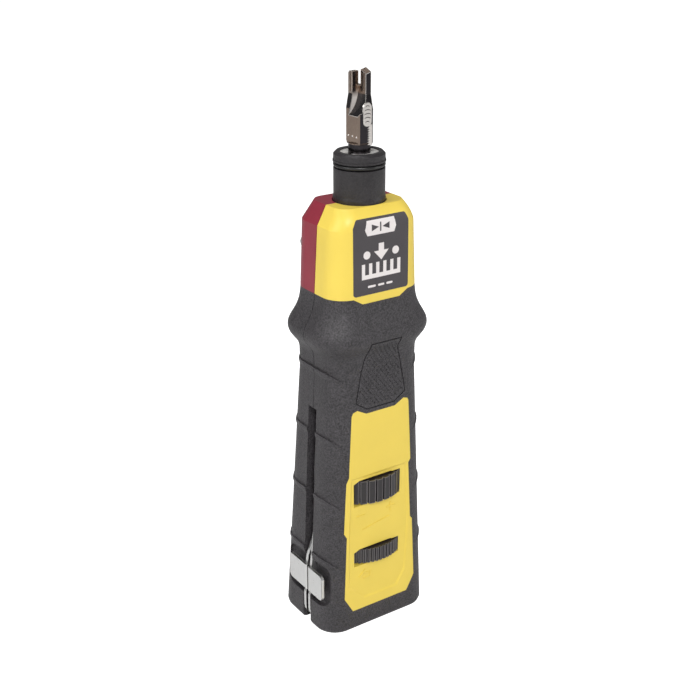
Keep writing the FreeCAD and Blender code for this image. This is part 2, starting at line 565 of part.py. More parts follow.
def bores():
    """Everything that is cut through the finished shells."""
    cuts = [
        cyl(COLLAR_FOOT_R + 0.3, BUSH_TOP - 1, HEAD_TOP + 1),
        cyl(BUSH_R + BUSH_LIP, BUSH_FOOT + 1.2, BUSH_FOOT + 1.2 + BUSH_LIP_H),
        cyl(BUSH_R, BUSH_FOOT, BUSH_TOP),
        cyl(SLEEVE_R, -1, SLEEVE_TOP),
        cyl(WHEEL_R + GAP, DIAL_LOW - GAP, DIAL_TOP + GAP),
        cyl(WHEEL_R + GAP, LOCK_LOW - GAP, LOCK_TOP + GAP),
        prism_y(window_outline(DIAL_LOW - WINDOW_ABOVE, DIAL_TOP + WINDOW_ABOVE), -FAR, 0),
        prism_y(window_outline(LOCK_LOW - WINDOW_ABOVE, LOCK_TOP + WINDOW_ABOVE), -FAR, 0),
        cyl_y(PIN_R, FOLD_X, FOLD_Z, PIN_ENDS[0], PIN_ENDS[1]),
        fold_slot(0.0),
        scallop(0.0),
    ]
    for x, z, seat in screw_places():
        cuts.append(cyl_y(SCREW_R, x, z, seat - SCREW_REACH, seat + 1))
        cuts.append(cyl_y(SCREW_HEAD_R + 0.2, x, z, seat, FAR))
    return join(cuts)


def label_pocket():
    plate = prism_y(label_outline(), -FAR, 0)
    corners = [edge for edge in plate.Edges if edge.BoundBox.YLength > FAR / 2]
    return plate.makeFillet(LABEL_ROUND, corners).cut(form(LABEL_T))


def build_housing():
    outer, core = form(0.0), form(TPE).common(slab(SOLE, HEAD_TOP))
    core = core.cut(fold_slot(LINER)).cut(scallop(LINER))
    zone, pocket, cuts, parting = hard_zone(), label_pocket(), bores(), parting_groove()
    room_low = form(TPE + WALL).common(slab(SOLE + FLOOR, GRIP_H + 1))
    room_high = form(HEAD_WALL).common(slab(GRIP_H - 1, HEAD_TOP - TOP_WALL))
    room = room_low.fuse(room_high).cut(inner_ribs())
    hard = core.fuse(outer.common(zone)).cut(room).cut(cuts).cut(pocket)
    hard = hard.cut(recess()).cut(parting)
    soft = outer.fuse(ribs()).cut(zone).cut(core).cut(cuts).cut(pad_groove()).cut(parting)
    front, rear = box(-FAR, FAR, -FAR, 0, -1, FAR * 4), box(-FAR, FAR, 0, FAR, -1, FAR * 4)
    save("front_shell", hard.common(front))
    save("rear_shell", hard.common(rear))
    save("front_grip", soft.common(front))
    save("rear_grip", soft.common(rear))
    save("front_label", outer.common(pocket))


def build_screws():
    screws = []
    for x, z, seat in screw_places():
        shaft = cyl_y(SCREW_R, x, z, seat - SCREW_REACH, seat + 0.2)
        head = cyl_y(SCREW_HEAD_R, x, z, seat, seat + SCREW_HEAD_H)
        cross = [box(x - 1.3, x + 1.3, seat + 0.7, seat + 2, z - 0.25, z + 0.25),
                 box(x - 0.25, x + 0.25, seat + 0.7, seat + 2, z - 1.3, z + 1.3)]
        screws.append(shaft.fuse(head).cut(cross[0]).cut(cross[1]))
    save("housing_screws", Part.makeCompound(screws))


# ------------------------------------------------------------------ nose
def build_nose():
    lip = COLLAR_TOP - CAP_H
    collar = join([cyl(COLLAR_R, FLANGE_FOOT, COLLAR_TOP), cyl(CAP_LIP_R, lip, lip + CAP_LIP_H),
                   cyl(COLLAR_FOOT_R, FLANGE_FOOT, HEAD_TOP + COLLAR_FOOT_H / 2),
                   Part.makeCone(COLLAR_FOOT_R, COLLAR_R, COLLAR_FOOT_H / 2,
                                 V(0, 0, HEAD_TOP + COLLAR_FOOT_H / 2)),
                   cyl(FLANGE_R, FLANGE_FOOT, FLANGE_TOP)])
    rim = [edge for edge in collar.Edges if abs(edge.BoundBox.ZMin - COLLAR_TOP) < 1e-6]
    collar = collar.makeChamfer(COLLAR_CHAMFER, rim)
    collar = collar.cut(tube(COLLAR_R + 1, RING_GROOVE_R, RING_GROOVE_Z,
                             RING_GROOVE_Z + RING_GROOVE_H))
    save("nose_collar", collar.cut(cyl(COLLAR_BORE, FLANGE_FOOT - 1, COLLAR_TOP + 1)))
    save("collar_o_ring", Part.makeTorus(RING_GROOVE_R + O_RING_WIRE + 0.02, O_RING_WIRE,
                                         V(0, 0, RING_GROOVE_Z + RING_GROOVE_H / 2)))

    bush = tube(BUSH_R, COLLAR_FOOT_R + RUN, BUSH_FOOT, BUSH_TOP)
    lip = tube(BUSH_R + BUSH_LIP, BUSH_R - 0.2, BUSH_FOOT + 1.2, BUSH_FOOT + 1.2 + BUSH_LIP_H)
    save("nose_bushing", join([bush, lip]))

    shank_room = BLADE_SHANK_R + RUN
    chamber = BLADE_FOOT + 0.7
    socket = cyl(COLLAR_BORE, SOCKET_FOOT, SOCKET_TOP)
    socket = socket.cut(join([
        cyl(SPIGOT_R, SOCKET_FOOT - 1, SOCKET_FOOT + SPIGOT_H),
        cyl(shank_room, BLADE_FOOT - 0.3, SOCKET_TOP + 1),
        cyl(BLADE_LUG + 0.4, chamber, chamber + BLADE_LUG_H + 0.6),
        box(-BLADE_LUG - 0.3, BLADE_LUG + 0.3, -BLADE_LUG_W / 2 - 0.2, BLADE_LUG_W / 2 + 0.2,
            chamber, SOCKET_TOP + 1),
        cyl(LOCK_RING_R + 0.1, LOCK_RING_Z - 0.1, LOCK_RING_Z + LOCK_RING_H + 0.1),
    ]))
    save("blade_socket", socket)

    ring = tube(LOCK_RING_R, shank_room + 0.05, LOCK_RING_Z, LOCK_RING_Z + LOCK_RING_H)
    save("blade_lock_ring", ring.cut(box(0, LOCK_RING_R + 1, -1.4, 1.4, 0, COLLAR_TOP)))

    rod = join([cyl(ROD_R, SEAR_TOP + ROD_TIP_H, SOCKET_FOOT),
                cyl(ROD_TIP_R, SEAR_TOP, SEAR_TOP + ROD_TIP_H + 1),
                cyl(SPIGOT_R, SOCKET_FOOT - 1, SOCKET_FOOT + SPIGOT_H)])
    save("plunger_rod", rod)
    save("return_spring", coil(RETURN_COIL_R, RETURN_WIRE, RETURN_TURNS, SHELF_TOP, FLANGE_FOOT))


# ------------------------------------------------------------------ hammer, sear, springs
def build_mechanism():
    bore = ROD_TIP_R + 0.3
    slot_low, slot_high = SEAR_FOOT - 0.1, SEAR_TOP + 0.1
    hammer = join([cyl(HAMMER_R, HAMMER_FOOT, HAMMER_TOP),
                   cyl(HAMMER_SPIGOT_R, HAMMER_FOOT - HAMMER_SPIGOT_H, HAMMER_FOOT + 1)])
    hammer = hammer.cut(join([cyl(bore, HAMMER_FOOT + 1.5, HAMMER_TOP + 1),
                              box(-HAMMER_R + 0.2, FAR, -SEAR_W / 2 - 0.1, SEAR_W / 2 + 0.1,
                                  slot_low, slot_high)]))
    save("hammer", hammer)

    sear = box(SEAR_TAIL, HAMMER_R + 0.8, -SEAR_W / 2, SEAR_W / 2, SEAR_FOOT, SEAR_TOP)
    save("sear_plate", sear.cut(cyl(bore, SEAR_FOOT - 1, SEAR_TOP + 1, x=SEAR_TRAVEL)))

    nest = -HAMMER_R + 0.25
    spring = coil(SEAR_COIL_R, SEAR_WIRE, SEAR_TURNS, nest, SEAR_TAIL)
    spring.rotate(V(0, 0, 0), V(0, 1, 0), 90)
    spring.translate(V(0, 0, (SEAR_FOOT + SEAR_TOP) / 2))
    save("sear_spring", spring)

    save("main_spring", coil(MAIN_COIL_R, MAIN_WIRE, MAIN_TURNS, SEAT_TOP, HAMMER_FOOT))
    seat = join([cyl(SEAT_R, SEAT_FOOT, SEAT_TOP),
                 box(-SEAT_LUG, SEAT_LUG, -SEAT_LUG_W / 2, SEAT_LUG_W / 2, SEAT_FOOT, SEAT_TOP)])
    save("spring_seat", seat.cut(cyl(HUB_R + RUN, SEAT_FOOT - 1, SEAT_TOP + 1)))


# ------------------------------------------------------------------ thumb wheels
def build_wheels():
    dial = join([toothed(WHEEL_R, DIAL_TEETH, DIAL_TOOTH, DIAL_LAND, DIAL_LOW, DIAL_TOP),
                 cyl(HUB_R, HUB_FOOT, DIAL_TOP + SCREW_H)])
    save("impact_dial", dial)
    lock = toothed(WHEEL_R, LOCK_TEETH, LOCK_TOOTH, LOCK_LAND, LOCK_LOW, LOCK_TOP)
    save("store_lock_wheel", lock.cut(cyl(SLEEVE_R + RUN, 0, DIAL_LOW)))


# ------------------------------------------------------------------ blade and its store
def blade_scoop():
    """Hollow that falls away from the left face, open to the front and up past the tip."""
    foot, top, back = BLADE_TIP - SCOOP_FOOT, BLADE_TIP - SCOOP_TOP, BLADE_W / 2 + 1
    rise, depth = top - foot, PRONG_NEAR + BLADE_T / 2
    floor_r = (rise ** 2 + depth ** 2) / (2 * depth)
    scoop = cyl_y(floor_r, PRONG_NEAR - floor_r, top, -back, SCOOP_HALF)
    scoop = scoop.fuse(box(-BLADE_T, PRONG_NEAR, -back, SCOOP_HALF, top, BLADE_TIP + 1))
    lean = SCOOP_HALF - PRONG_REAR
    wall_r = (rise ** 2 + lean ** 2) / (2 * lean)
    wall = Part.makeCylinder(wall_r, 2 * BLADE_T, V(-BLADE_T, PRONG_REAR + wall_r, top), V(1, 0, 0))
    wall = wall.fuse(box(-BLADE_T, BLADE_T, PRONG_REAR, back, top, BLADE_TIP + 2))
    lip = prism_x([(-SCOOP_HALF, foot - 3), (-SCOOP_HALF, foot), (-back, foot + SCOOP_LIP_H),
                   (-back - 1, foot + SCOOP_LIP_H), (-back - 1, foot - 3)], -BLADE_T, BLADE_T)
    return scoop.cut(wall).cut(lip)


def blade_solid():
    """Reversible blade: two staggered prongs over a flat body, round shank with two lugs."""
    body_foot = COLLAR_TOP + BLADE_CLEAR
    body_top = COLLAR_TOP + BLADE_BODY_H
    neck = body_top + BLADE_TAPER_H

    def side(full, narrow):
        return [(-full / 2, body_foot), (full / 2, body_foot), (full / 2, body_top),
                (narrow / 2, neck), (narrow / 2, BLADE_TIP), (-narrow / 2, BLADE_TIP),
                (-narrow / 2, neck), (-full / 2, body_top)]

    head = prism_x(side(BLADE_W, BLADE_NECK_W), -BLADE_T, BLADE_T).common(
        prism_y(side(BLADE_T, BLADE_NECK_T), -BLADE_W, BLADE_W))
    slot_low = BLADE_TIP - PRONG_SLOT_H
    rear_top = BLADE_TIP - REAR_PRONG_DROP
    half = BLADE_NECK_W / 2
    ends = ((-4, BLADE_TIP - BEVEL_IN * (4 + BLADE_NECK_T / 2)),
            (4, BLADE_TIP + BEVEL_IN * (4 - BLADE_NECK_T / 2)), (4, BLADE_TIP + 9),
            (-4, BLADE_TIP + 9))
    bevel = [V(x, PRONG_FRONT, z) for x, z in ends]
    bevel = Part.Face(Part.makePolygon(bevel + bevel[:1])).extrude(V(0, -5, -5 * BEVEL_FALL))
    cuts = [
        blade_scoop(),
        box(-BLADE_T, BLADE_T, PRONG_FRONT, PRONG_REAR, slot_low, BLADE_TIP + 1),
        box(PRONG_FAR, BLADE_T, PRONG_FRONT, BLADE_W, slot_low, BLADE_TIP + 1),
        prism_x([(0, rear_top), (half - 0.6, rear_top), (half, rear_top - 0.6),
                 (half + 1, rear_top - 0.6), (half + 1, BLADE_TIP + 1), (0, BLADE_TIP + 1)],
                -BLADE_T, BLADE_T),
        bevel,
        cyl(PRONG_GROOVE_R, slot_low - 2, BLADE_TIP + 1, x=-BLADE_NECK_T / 2, y=PRONG_GROOVE_Y),
    ]
    for sign in (-1, 1):
        edge = sign * BLADE_W / 2
        cuts.append(prism_x([(edge - sign * FOOT_CUT, body_foot - 1), (edge, body_foot + FOOT_CUT),
                             (edge + sign, body_foot + FOOT_CUT), (edge + sign, body_foot - 1)],
                            -BLADE_T, BLADE_T))
    for cut in cuts:
        head = head.cut(cut)
    shank = join([cyl(BLADE_SHANK_R, BLADE_FOOT, body_foot + 0.5),
                  box(-BLADE_LUG, BLADE_LUG, -BLADE_LUG_W / 2, BLADE_LUG_W / 2,
                      BLADE_FOOT + 1.0, BLADE_FOOT + 1.0 + BLADE_LUG_H)])
    return head.fuse(shank).removeSplitter()


def build_blades():
    save("blade", blade_solid())
    spare = blade_solid()
    spare.translate(V(0, 0, -SPARE_DROP))
    save("spare_blade", spare)
    sleeve = cyl(SLEEVE_R, SLEEVE_FOOT, SLEEVE_TOP)
    save("spare_blade_sleeve", sleeve.cut(cyl(SLEEVE_BORE, 0, SLEEVE_TOP - SLEEVE_CAP)))


# ------------------------------------------------------------------ folding tools
def strip_outline(end, neck_z):
    """Folded strip: butt that fills the corner of the sole, shank beside the dial, end."""
    outer, inner = FOLD_X - FOLD_OUT, FOLD_FLOOR - FOLD_EASE
    butt = [(FOLD_X + (FOLD_BUTT if turn > -90 else FOLD_BUTT_OUT) * math.cos(math.radians(turn)),
             FOLD_Z + FOLD_BUTT * math.sin(math.radians(turn))) for turn in range(60, -181, -15)]
    rise = [(FOLD_X - FOLD_BUTT_OUT, TAB_LOW - FOLD_STEP), (outer, TAB_LOW),
            (outer, TAB_LOW + TAB_H),
            (outer + FOLD_SHOULDER, TAB_LOW + TAB_H + FOLD_SHOULDER_H),
            (inner - FOLD_NECK_W, neck_z), (inner - FOLD_NECK_W, FOLD_NECK_Z)]
    tip = [(inner + FOLD_LEAN - x, FOLD_TOP - z) for x, z in end]
    return butt + rise + tip + [(inner, FOLD_NECK_Z), (inner, FOLD_Z + FOLD_ROOT_H)]


def folding_tool(name, end, neck_z, away, tab_length):
    """Flat strip with a thumb tab bent out at its edge; away is -1 or 1, the tab's way in y."""
    layer = FOLD_LAYERS[name]
    middle = FOLD_LAYERS["hook_tool"] + FOLD_T + TAB_SEAM / 2
    seam = middle + away * TAB_SEAM / 2
    strip = prism_y(strip_outline(end, neck_z), layer, layer + FOLD_T)
    outer = FOLD_X - FOLD_OUT
    free = seam + away * tab_length
    tab = box(outer - TAB_T, outer, min(seam, free), max(seam, free), TAB_LOW, TAB_LOW + TAB_H)
    ends = [edge for edge in tab.Edges if edge.BoundBox.XLength > TAB_T / 2
            and abs(edge.BoundBox.YMin - free) < 1e-6]
    tab = tab.makeFillet(TAB_ROUND, ends)
    bends = [edge for edge in tab.Edges
             if edge.BoundBox.ZLength > TAB_H / 2 and edge.BoundBox.YLength < 1e-6
             and abs(edge.BoundBox.XMin - outer + TAB_T) < 1e-6
             and abs(edge.BoundBox.YMin - seam) < 1e-6]
    whole = strip.fuse(tab.makeFillet(TAB_BEND, bends)).removeSplitter()
    return whole.cut(cyl_y(PIN_R + 0.05, FOLD_X, FOLD_Z, layer - 1, layer + FOLD_T + 1))


def build_folding_tools():
    hook, spudger = FOLD_LAYERS["hook_tool"], FOLD_LAYERS["spudger_tool"]
    save("hook_tool", folding_tool("hook_tool", HOOK_END, FOLD_NECK_Z, -1, TAB_FRONT))
    save("spudger_tool", folding_tool("spudger_tool", SPUDGER_END, SPUDGER_NECK_Z, 1, TAB_REAR))
    save("fold_pivot_pin", cyl_y(PIN_R, FOLD_X, FOLD_Z, PIN_ENDS[0], PIN_ENDS[1]))
    washers = []
    for y0, y1 in ((hook + FOLD_T, spudger), (spudger + FOLD_T, FOLD_BACK)):
        washer = cyl_y(WASHER_R, FOLD_X, FOLD_Z, y0 + 0.02, y1 - 0.02)
        washers.append(washer.cut(cyl_y(PIN_R, FOLD_X, FOLD_Z, y0 - 1, y1 + 1)))
    save("fold_washers", Part.makeCompound(washers))


os.makedirs("parts", exist_ok=True)
build_housing()
build_screws()
build_nose()
build_mechanism()
build_wheels()
build_blades()
build_folding_tools()
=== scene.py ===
import math

import bmesh
import bpy
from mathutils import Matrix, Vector
from mathutils.bvhtree import BVHTree
from mathutils.geometry import tessellate_polygon


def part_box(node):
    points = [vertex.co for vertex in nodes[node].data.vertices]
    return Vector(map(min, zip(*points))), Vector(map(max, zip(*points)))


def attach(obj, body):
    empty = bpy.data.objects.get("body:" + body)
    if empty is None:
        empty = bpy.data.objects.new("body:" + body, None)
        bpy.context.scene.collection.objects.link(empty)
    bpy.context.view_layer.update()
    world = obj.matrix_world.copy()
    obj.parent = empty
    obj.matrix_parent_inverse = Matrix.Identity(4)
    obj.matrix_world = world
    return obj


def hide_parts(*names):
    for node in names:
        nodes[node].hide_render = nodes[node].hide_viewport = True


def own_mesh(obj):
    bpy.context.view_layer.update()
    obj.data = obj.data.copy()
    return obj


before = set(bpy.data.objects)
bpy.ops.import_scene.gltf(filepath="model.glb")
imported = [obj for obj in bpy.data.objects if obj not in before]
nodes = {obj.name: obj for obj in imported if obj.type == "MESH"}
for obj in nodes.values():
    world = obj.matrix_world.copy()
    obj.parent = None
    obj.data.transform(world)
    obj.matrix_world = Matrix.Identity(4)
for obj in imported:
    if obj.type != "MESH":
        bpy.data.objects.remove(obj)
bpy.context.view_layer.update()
scene = bpy.context.scene

# ---------------------------------------------------------------------------------------------
# The bench: a white sheet of card that runs far behind the tool, and soft studio light.  The
# card glows a little towards the camera and takes the tool's shadow, and the air behind it is
# white to the camera.
CARD_HALF = 6.0
CARD_COLOUR = (0.88, 0.88, 0.88, 1)
CARD_GLOW = 0.83
DAYLIGHT = 0.22           # the sky's strength on all but the camera

card_mesh = bpy.data.meshes.new("card")
card_mesh.from_pydata([(-CARD_HALF, -CARD_HALF, 0), (CARD_HALF, -CARD_HALF, 0),
                       (CARD_HALF, CARD_HALF, 0), (-CARD_HALF, CARD_HALF, 0)], [], [(0, 1, 2, 3)])
card = bpy.data.objects.new("card", card_mesh)
scene.collection.objects.link(card)

card_paper = bpy.data.materials.new("card_paper")
card_paper.use_nodes = True
tree = card_paper.node_tree
tree.nodes.clear()
paper = tree.nodes.new("ShaderNodeBsdfDiffuse")
paper.inputs["Color"].default_value = CARD_COLOUR
glow = tree.nodes.new("ShaderNodeEmission")
rays = tree.nodes.new("ShaderNodeLightPath")
seen = tree.nodes.new("ShaderNodeMath")
seen.operation = "ADD"
seen.use_clamp = True
scaled = tree.nodes.new("ShaderNodeMath")
scaled.operation = "MULTIPLY"
scaled.inputs[1].default_value = CARD_GLOW
both = tree.nodes.new("ShaderNodeAddShader")
out = tree.nodes.new("ShaderNodeOutputMaterial")
tree.links.new(rays.outputs["Is Camera Ray"], seen.inputs[0])
tree.links.new(rays.outputs["Is Transmission Ray"], seen.inputs[1])
tree.links.new(seen.outputs[0], scaled.inputs[0])
tree.links.new(scaled.outputs[0], glow.inputs["Strength"])
tree.links.new(paper.outputs[0], both.inputs[0])
tree.links.new(glow.outputs[0], both.inputs[1])
tree.links.new(both.outputs[0], out.inputs["Surface"])
card_mesh.materials.append(card_paper)

world = bpy.data.worlds.new("studio")
world.use_nodes = True
sky = world.node_tree.nodes["Background"]
sky.inputs["Color"].default_value = (1, 1, 1, 1)
rays = world.node_tree.nodes.new("ShaderNodeLightPath")
strength = world.node_tree.nodes.new("ShaderNodeMath")
strength.operation = "MAXIMUM"
strength.inputs[1].default_value = DAYLIGHT
world.node_tree.links.new(rays.outputs["Is Camera Ray"], strength.inputs[0])
world.node_tree.links.new(strength.outputs[0], sky.inputs["Strength"])
scene.world = world


def softbox(name, place, target, size, power):
    """Square soft light of that size in metres, turned towards target."""
    lamp = bpy.data.lights.new(name, "AREA")
    lamp.size = size
    lamp.energy = power
    box = bpy.data.objects.new(name, lamp)
    box.location = place
    box.rotation_euler = (Vector(target) - Vector(place)).to_track_quat("-Z", "Y").to_euler()
    scene.collection.objects.link(box)


MIDDLE = (0, 0, 0.1)
# place, size and power of each light
LIGHTS = {"key": ((-0.52, -1.00, 1.10), 0.44, 13.7),
          "left_fill": ((-0.90, 0.0, 0.60), 0.5, 3.3),
          "right_fill": ((0.80, -0.60, 0.40), 0.4, 1.8),
          "top": ((-0.1, 0.2, 1.1), 0.5, 2.2)}
for name, (place, size, power) in LIGHTS.items():
    softbox(name, place, MIDDLE, size, power)

LENS, SENSOR = 59.14, 36  # millimetres
NEAREST = 0.01
EYE = (-0.20155, -0.29031, 0.2446)
HEADING = (0.5635, 0.8261)            # of the line of sight, seen from above
PITCH = math.radians(22.4)            # down from level

view = bpy.data.cameras.new("view")
view.lens = LENS
view.sensor_width = SENSOR
view.clip_start = NEAREST
camera = bpy.data.objects.new("view", view)
camera.location = EYE
level = math.cos(PITCH)
sight = Vector((HEADING[0] * level, HEADING[1] * level, -math.sin(PITCH)))
camera.rotation_euler = sight.to_track_quat("-Z", "Y").to_euler()
scene.collection.objects.link(camera)
scene.camera = camera
scene.view_settings.view_transform = "Standard"

# ---------------------------------------------------------------------------------------------
# The two housing shells: glass-filled nylon, yellow in front and deep red behind, moulded with
# a fine satin texture and screwed together from the rear.
YELLOW = (0.843, 0.636, 0.0965)
RED = (0.262, 0.0205, 0.040)
CLOUD_SCALE = 90          # clouds of colour in a metre
NOISE_LOW, NOISE_HIGH = 0.3, 0.7      # nearly all of a noise lies between these
GRAIN_TURN = (0.3, 0.2, 0.5)          # keeps the grain from lining up with the faces
MOULD_GLOSS = 0.06        # how far the roughness of a moulding varies to each side


def add_node(tree, kind, **settings):
    """New shader node with its attributes set."""
    node = tree.nodes.new("ShaderNode" + kind)
    for name, value in settings.items():
        setattr(node, name, value)
    return node


def noise(tree, where, scale, detail):
    """Noise texture at those coordinates."""
    made = add_node(tree, "TexNoise")
    made.inputs["Scale"].default_value = scale
    made.inputs["Detail"].default_value = detail
    tree.links.new(where, made.inputs["Vector"])
    return made


def clouded(tree, share, colour, mottle):
    """The colour, made darker and lighter by up to the part mottle as share goes from 0 to 1."""
    shade = add_node(tree, "ValToRGB")
    ends = shade.color_ramp.elements
    ends[0].position = NOISE_LOW
    ends[1].position = NOISE_HIGH
    ends[0].color = (*[c * (1 - mottle) for c in colour], 1)
    ends[1].color = (*[min(1, c * (1 + mottle)) for c in colour], 1)
    tree.links.new(share, shade.inputs["Fac"])
    return shade.outputs["Color"]


def spread(tree, share, low, high, ends=(0, 1)):
    """A value that goes from low to high as share goes from one of its ends to the other."""
    ramp = add_node(tree, "MapRange")
    ramp.inputs["From Min"].default_value = ends[0]
    ramp.inputs["From Max"].default_value = ends[1]
    ramp.inputs["To Min"].default_value = low
    ramp.inputs["To Max"].default_value = high
    tree.links.new(share, ramp.inputs["Value"])
    return ramp.outputs[0]


def textured(tree, share, roughness, depth):
    """Gives the surface that roughness and, where share goes from 0 to 1, a relief of that
    depth in metres."""
    shader = tree.nodes["Principled BSDF"]
    tree.links.new(roughness, shader.inputs["Roughness"])
    bump = add_node(tree, "Bump")
    bump.inputs["Distance"].default_value = depth
    tree.links.new(share, bump.inputs["Height"])
    tree.links.new(bump.outputs[0], shader.inputs["Normal"])


def plastic(name, colour, roughness, grain, depth, mottle=0.05, specular=0.5, fleck=0.0):
    """Moulded plastic or rubber: grain is the texture's frequency per metre, depth in metres;
    mottle clouds the colour and fleck darkens it in the hollows of the grain."""
    mat = bpy.data.materials.new(name)
    mat.use_nodes = True
    tree = mat.node_tree
    shader = tree.nodes["Principled BSDF"]
    shader.inputs["Specular IOR Level"].default_value = specular
    place = add_node(tree, "TexCoord")
    turn = add_node(tree, "Mapping")
    turn.inputs["Rotation"].default_value = GRAIN_TURN
    tree.links.new(place.outputs["Object"], turn.inputs["Vector"])

    cloud = noise(tree, turn.outputs[0], CLOUD_SCALE, 3)
    grit = noise(tree, turn.outputs[0], grain, 2)
    grit.inputs["Roughness"].default_value = 0.6
    speck = spread(tree, grit.outputs["Fac"], 1 - fleck, 1 + fleck, (NOISE_LOW, NOISE_HIGH))
    toned = add_node(tree, "HueSaturation")
    tree.links.new(clouded(tree, cloud.outputs["Fac"], colour, mottle), toned.inputs["Color"])
    tree.links.new(speck, toned.inputs["Value"])
    tree.links.new(toned.outputs[0], shader.inputs["Base Color"])
    gloss = spread(tree, grit.outputs["Fac"], roughness - MOULD_GLOSS, roughness + MOULD_GLOSS)
    textured(tree, grit.outputs["Fac"], gloss, depth)
    return mat


def finish_nodes(mat, *names):
    """Gives each of these parts that material alone."""
    for name in names:
        mesh = nodes[name].data
        mesh.materials.clear()
        mesh.materials.append(mat)


yellow_shell = plastic("yellow_shell", YELLOW, roughness=0.42, grain=2400, depth=0.00003,
                       mottle=0.02)
red_shell = plastic("red_shell", RED, roughness=0.40, grain=2400, depth=0.00003)
finish_nodes(yellow_shell, "front_shell")
finish_nodes(red_shell, "rear_shell")

IN_FRONT = -1.0           # depth of a place well in front of the tool


def skin_of(name):
    """The surface of a CAD node, for finding where things lie on it."""
    mesh = nodes[name].data
    corners = [vertex.co.copy() for vertex in mesh.vertices]
    return BVHTree.FromPolygons(corners, [tuple(face.vertices) for face in mesh.polygons])


def front_of(skin, x, z):
    """Depth of the skin seen from the front at that place."""
    hit = skin.ray_cast(Vector((x, IN_FRONT, z)), Vector((0, 1, 0)))[0]
    if hit is None:
        raise ValueError(f"nothing lies behind {x:.4f}, {z:.4f}")
    return hit.y


def closed_piece(name, points, faces):
    """New object from points and faces, its faces turned outwards."""
    mesh = bpy.data.meshes.new(name)
    mesh.from_pydata(points, [], faces)
    body = bmesh.new()
    body.from_mesh(mesh)
    bmesh.ops.recalc_face_normals(body, faces=body.faces)
    body.to_mesh(mesh)
    body.free()
    piece = bpy.data.objects.new(name, mesh)
    scene.collection.objects.link(piece)
    return piece


def lay_on_front(name, shapes, node, proud, levels=()):
    """Raised print or moulding: closed (x, z) outlines in metres that follow a node's front.
    A shape is a list of outlines, its border first and then its holes.  It is cut at the given
    heights so that it can bend."""
    flat = bmesh.new()
    for outlines in shapes:
        loops = [[Vector((x, z, 0)) for x, z in outline] for outline in outlines]
        corners = [flat.verts.new((p.x, 0, p.y)) for loop in loops for p in loop]
        for triangle in tessellate_polygon(loops):
            flat.faces.new([corners[i] for i in triangle])
    for level in levels:
        everything = flat.verts[:] + flat.edges[:] + flat.faces[:]
        bmesh.ops.bisect_plane(flat, geom=everything, plane_co=(0, 0, level), plane_no=(0, 0, 1))
    bmesh.ops.recalc_face_normals(flat, faces=flat.faces)
    skin = skin_of(node)
    flat.verts.index_update()
    count = len(flat.verts)
    depths = [front_of(skin, v.co.x, v.co.z) for v in flat.verts]
    points = [(v.co.x, depth - proud, v.co.z) for v, depth in zip(flat.verts, depths)]
    points += [(v.co.x, depth + proud, v.co.z) for v, depth in zip(flat.verts, depths)]
    faces = []
    for face in flat.faces:
        ring = [v.index for v in face.verts]
        faces.append(ring)
        faces.append([i + count for i in reversed(ring)])
    for edge in flat.edges:
        if len(edge.link_loops) == 1:
            a = edge.link_loops[0].vert.index
            b = edge.link_loops[0].link_loop_next.vert.index
            faces.append([b, a, a + count, b + count])
    flat.free()
    return closed_piece(name, points, faces)


def rounded_bar(x, z, width, height, radius, steps=4):
    """Outline of a bar with round corners about its middle."""
    outline = []
    for sx, sz, start in ((1, 1, 0), (-1, 1, 90), (-1, -1, 180), (1, -1, 270)):
        cx = x + sx * (width / 2 - radius)
        cz = z + sz * (height / 2 - radius)
        for step in range(steps + 1):
            turn = math.radians(start + 90 * step / steps)
            outline.append((cx + radius * math.cos(turn), cz + radius * math.sin(turn)))
    return outline


# Marks moulded into the front panel: minus, wedge and plus for the impact dial, and an arrow
# for the blade lock.  They stand two tenths of a millimetre proud, in the shell's own plastic.
MARK_PROUD = 0.0002
MARK_LINE = 0.0006
MARK_ROUND = 0.00027
MARK_SIZE = 0.0034
DIAL_HUB = 0.005          # how far the dial's rim lies above the foot of its hub
DIAL_X = (-0.0078, 0.0046)            # middles of the minus and the plus
SIGNS_BELOW_DIAL, WEDGE_BELOW_DIAL = 0.0046, 0.0094
WEDGE_INSET, WEDGE_LOW, WEDGE_HIGH = 0.0005, 0.0006, 0.0014
ARROW_X, ARROW_BELOW_LOCK = -0.0088, 0.0052
# upper halves of the arrow's border and of the hollow in it, from the point
ARROW = [(0, 0), (0.0026, 0.0026), (0.0026, 0.0012), (0.0052, 0.0012)]
ARROW_HOLLOW = [(0.0009, 0), (0.0021, 0.0013), (0.0021, 0.0007), (0.0046, 0.0007)]

dial_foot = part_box("impact_dial")[0].z + DIAL_HUB
lock_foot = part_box("store_lock_wheel")[0].z
signs_z = dial_foot - SIGNS_BELOW_DIAL
less = rounded_bar(DIAL_X[0], signs_z, MARK_SIZE, MARK_LINE, MARK_ROUND)

arm, line = MARK_SIZE / 2, MARK_LINE / 2
quarter = [(line, arm), (line, line), (arm, line)]
more = []
for turn in range(4):
    spin = math.radians(-90 * turn)
    more += [(DIAL_X[1] + x * math.cos(spin) - z * math.sin(spin),
              signs_z + x * math.sin(spin) + z * math.cos(spin)) for x, z in quarter]

wedge_z = dial_foot - WEDGE_BELOW_DIAL
wedge = [(DIAL_X[0] + WEDGE_INSET, wedge_z - WEDGE_LOW),
         (DIAL_X[1] - WEDGE_INSET, wedge_z - WEDGE_LOW),
         (DIAL_X[1] - WEDGE_INSET, wedge_z + WEDGE_HIGH)]

arrow_z = lock_foot - ARROW_BELOW_LOCK
arrow = []
for half in (ARROW, ARROW_HOLLOW):
    outline = half + [(x, -z) for x, z in half[:0:-1]]
    arrow.append([(ARROW_X + x, arrow_z + z) for x, z in outline])
marks = lay_on_front("panel_marks", [[less], [more], [wedge], arrow], "front_shell", MARK_PROUD)
marks.data.materials.append(yellow_shell)
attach(marks, "housing")

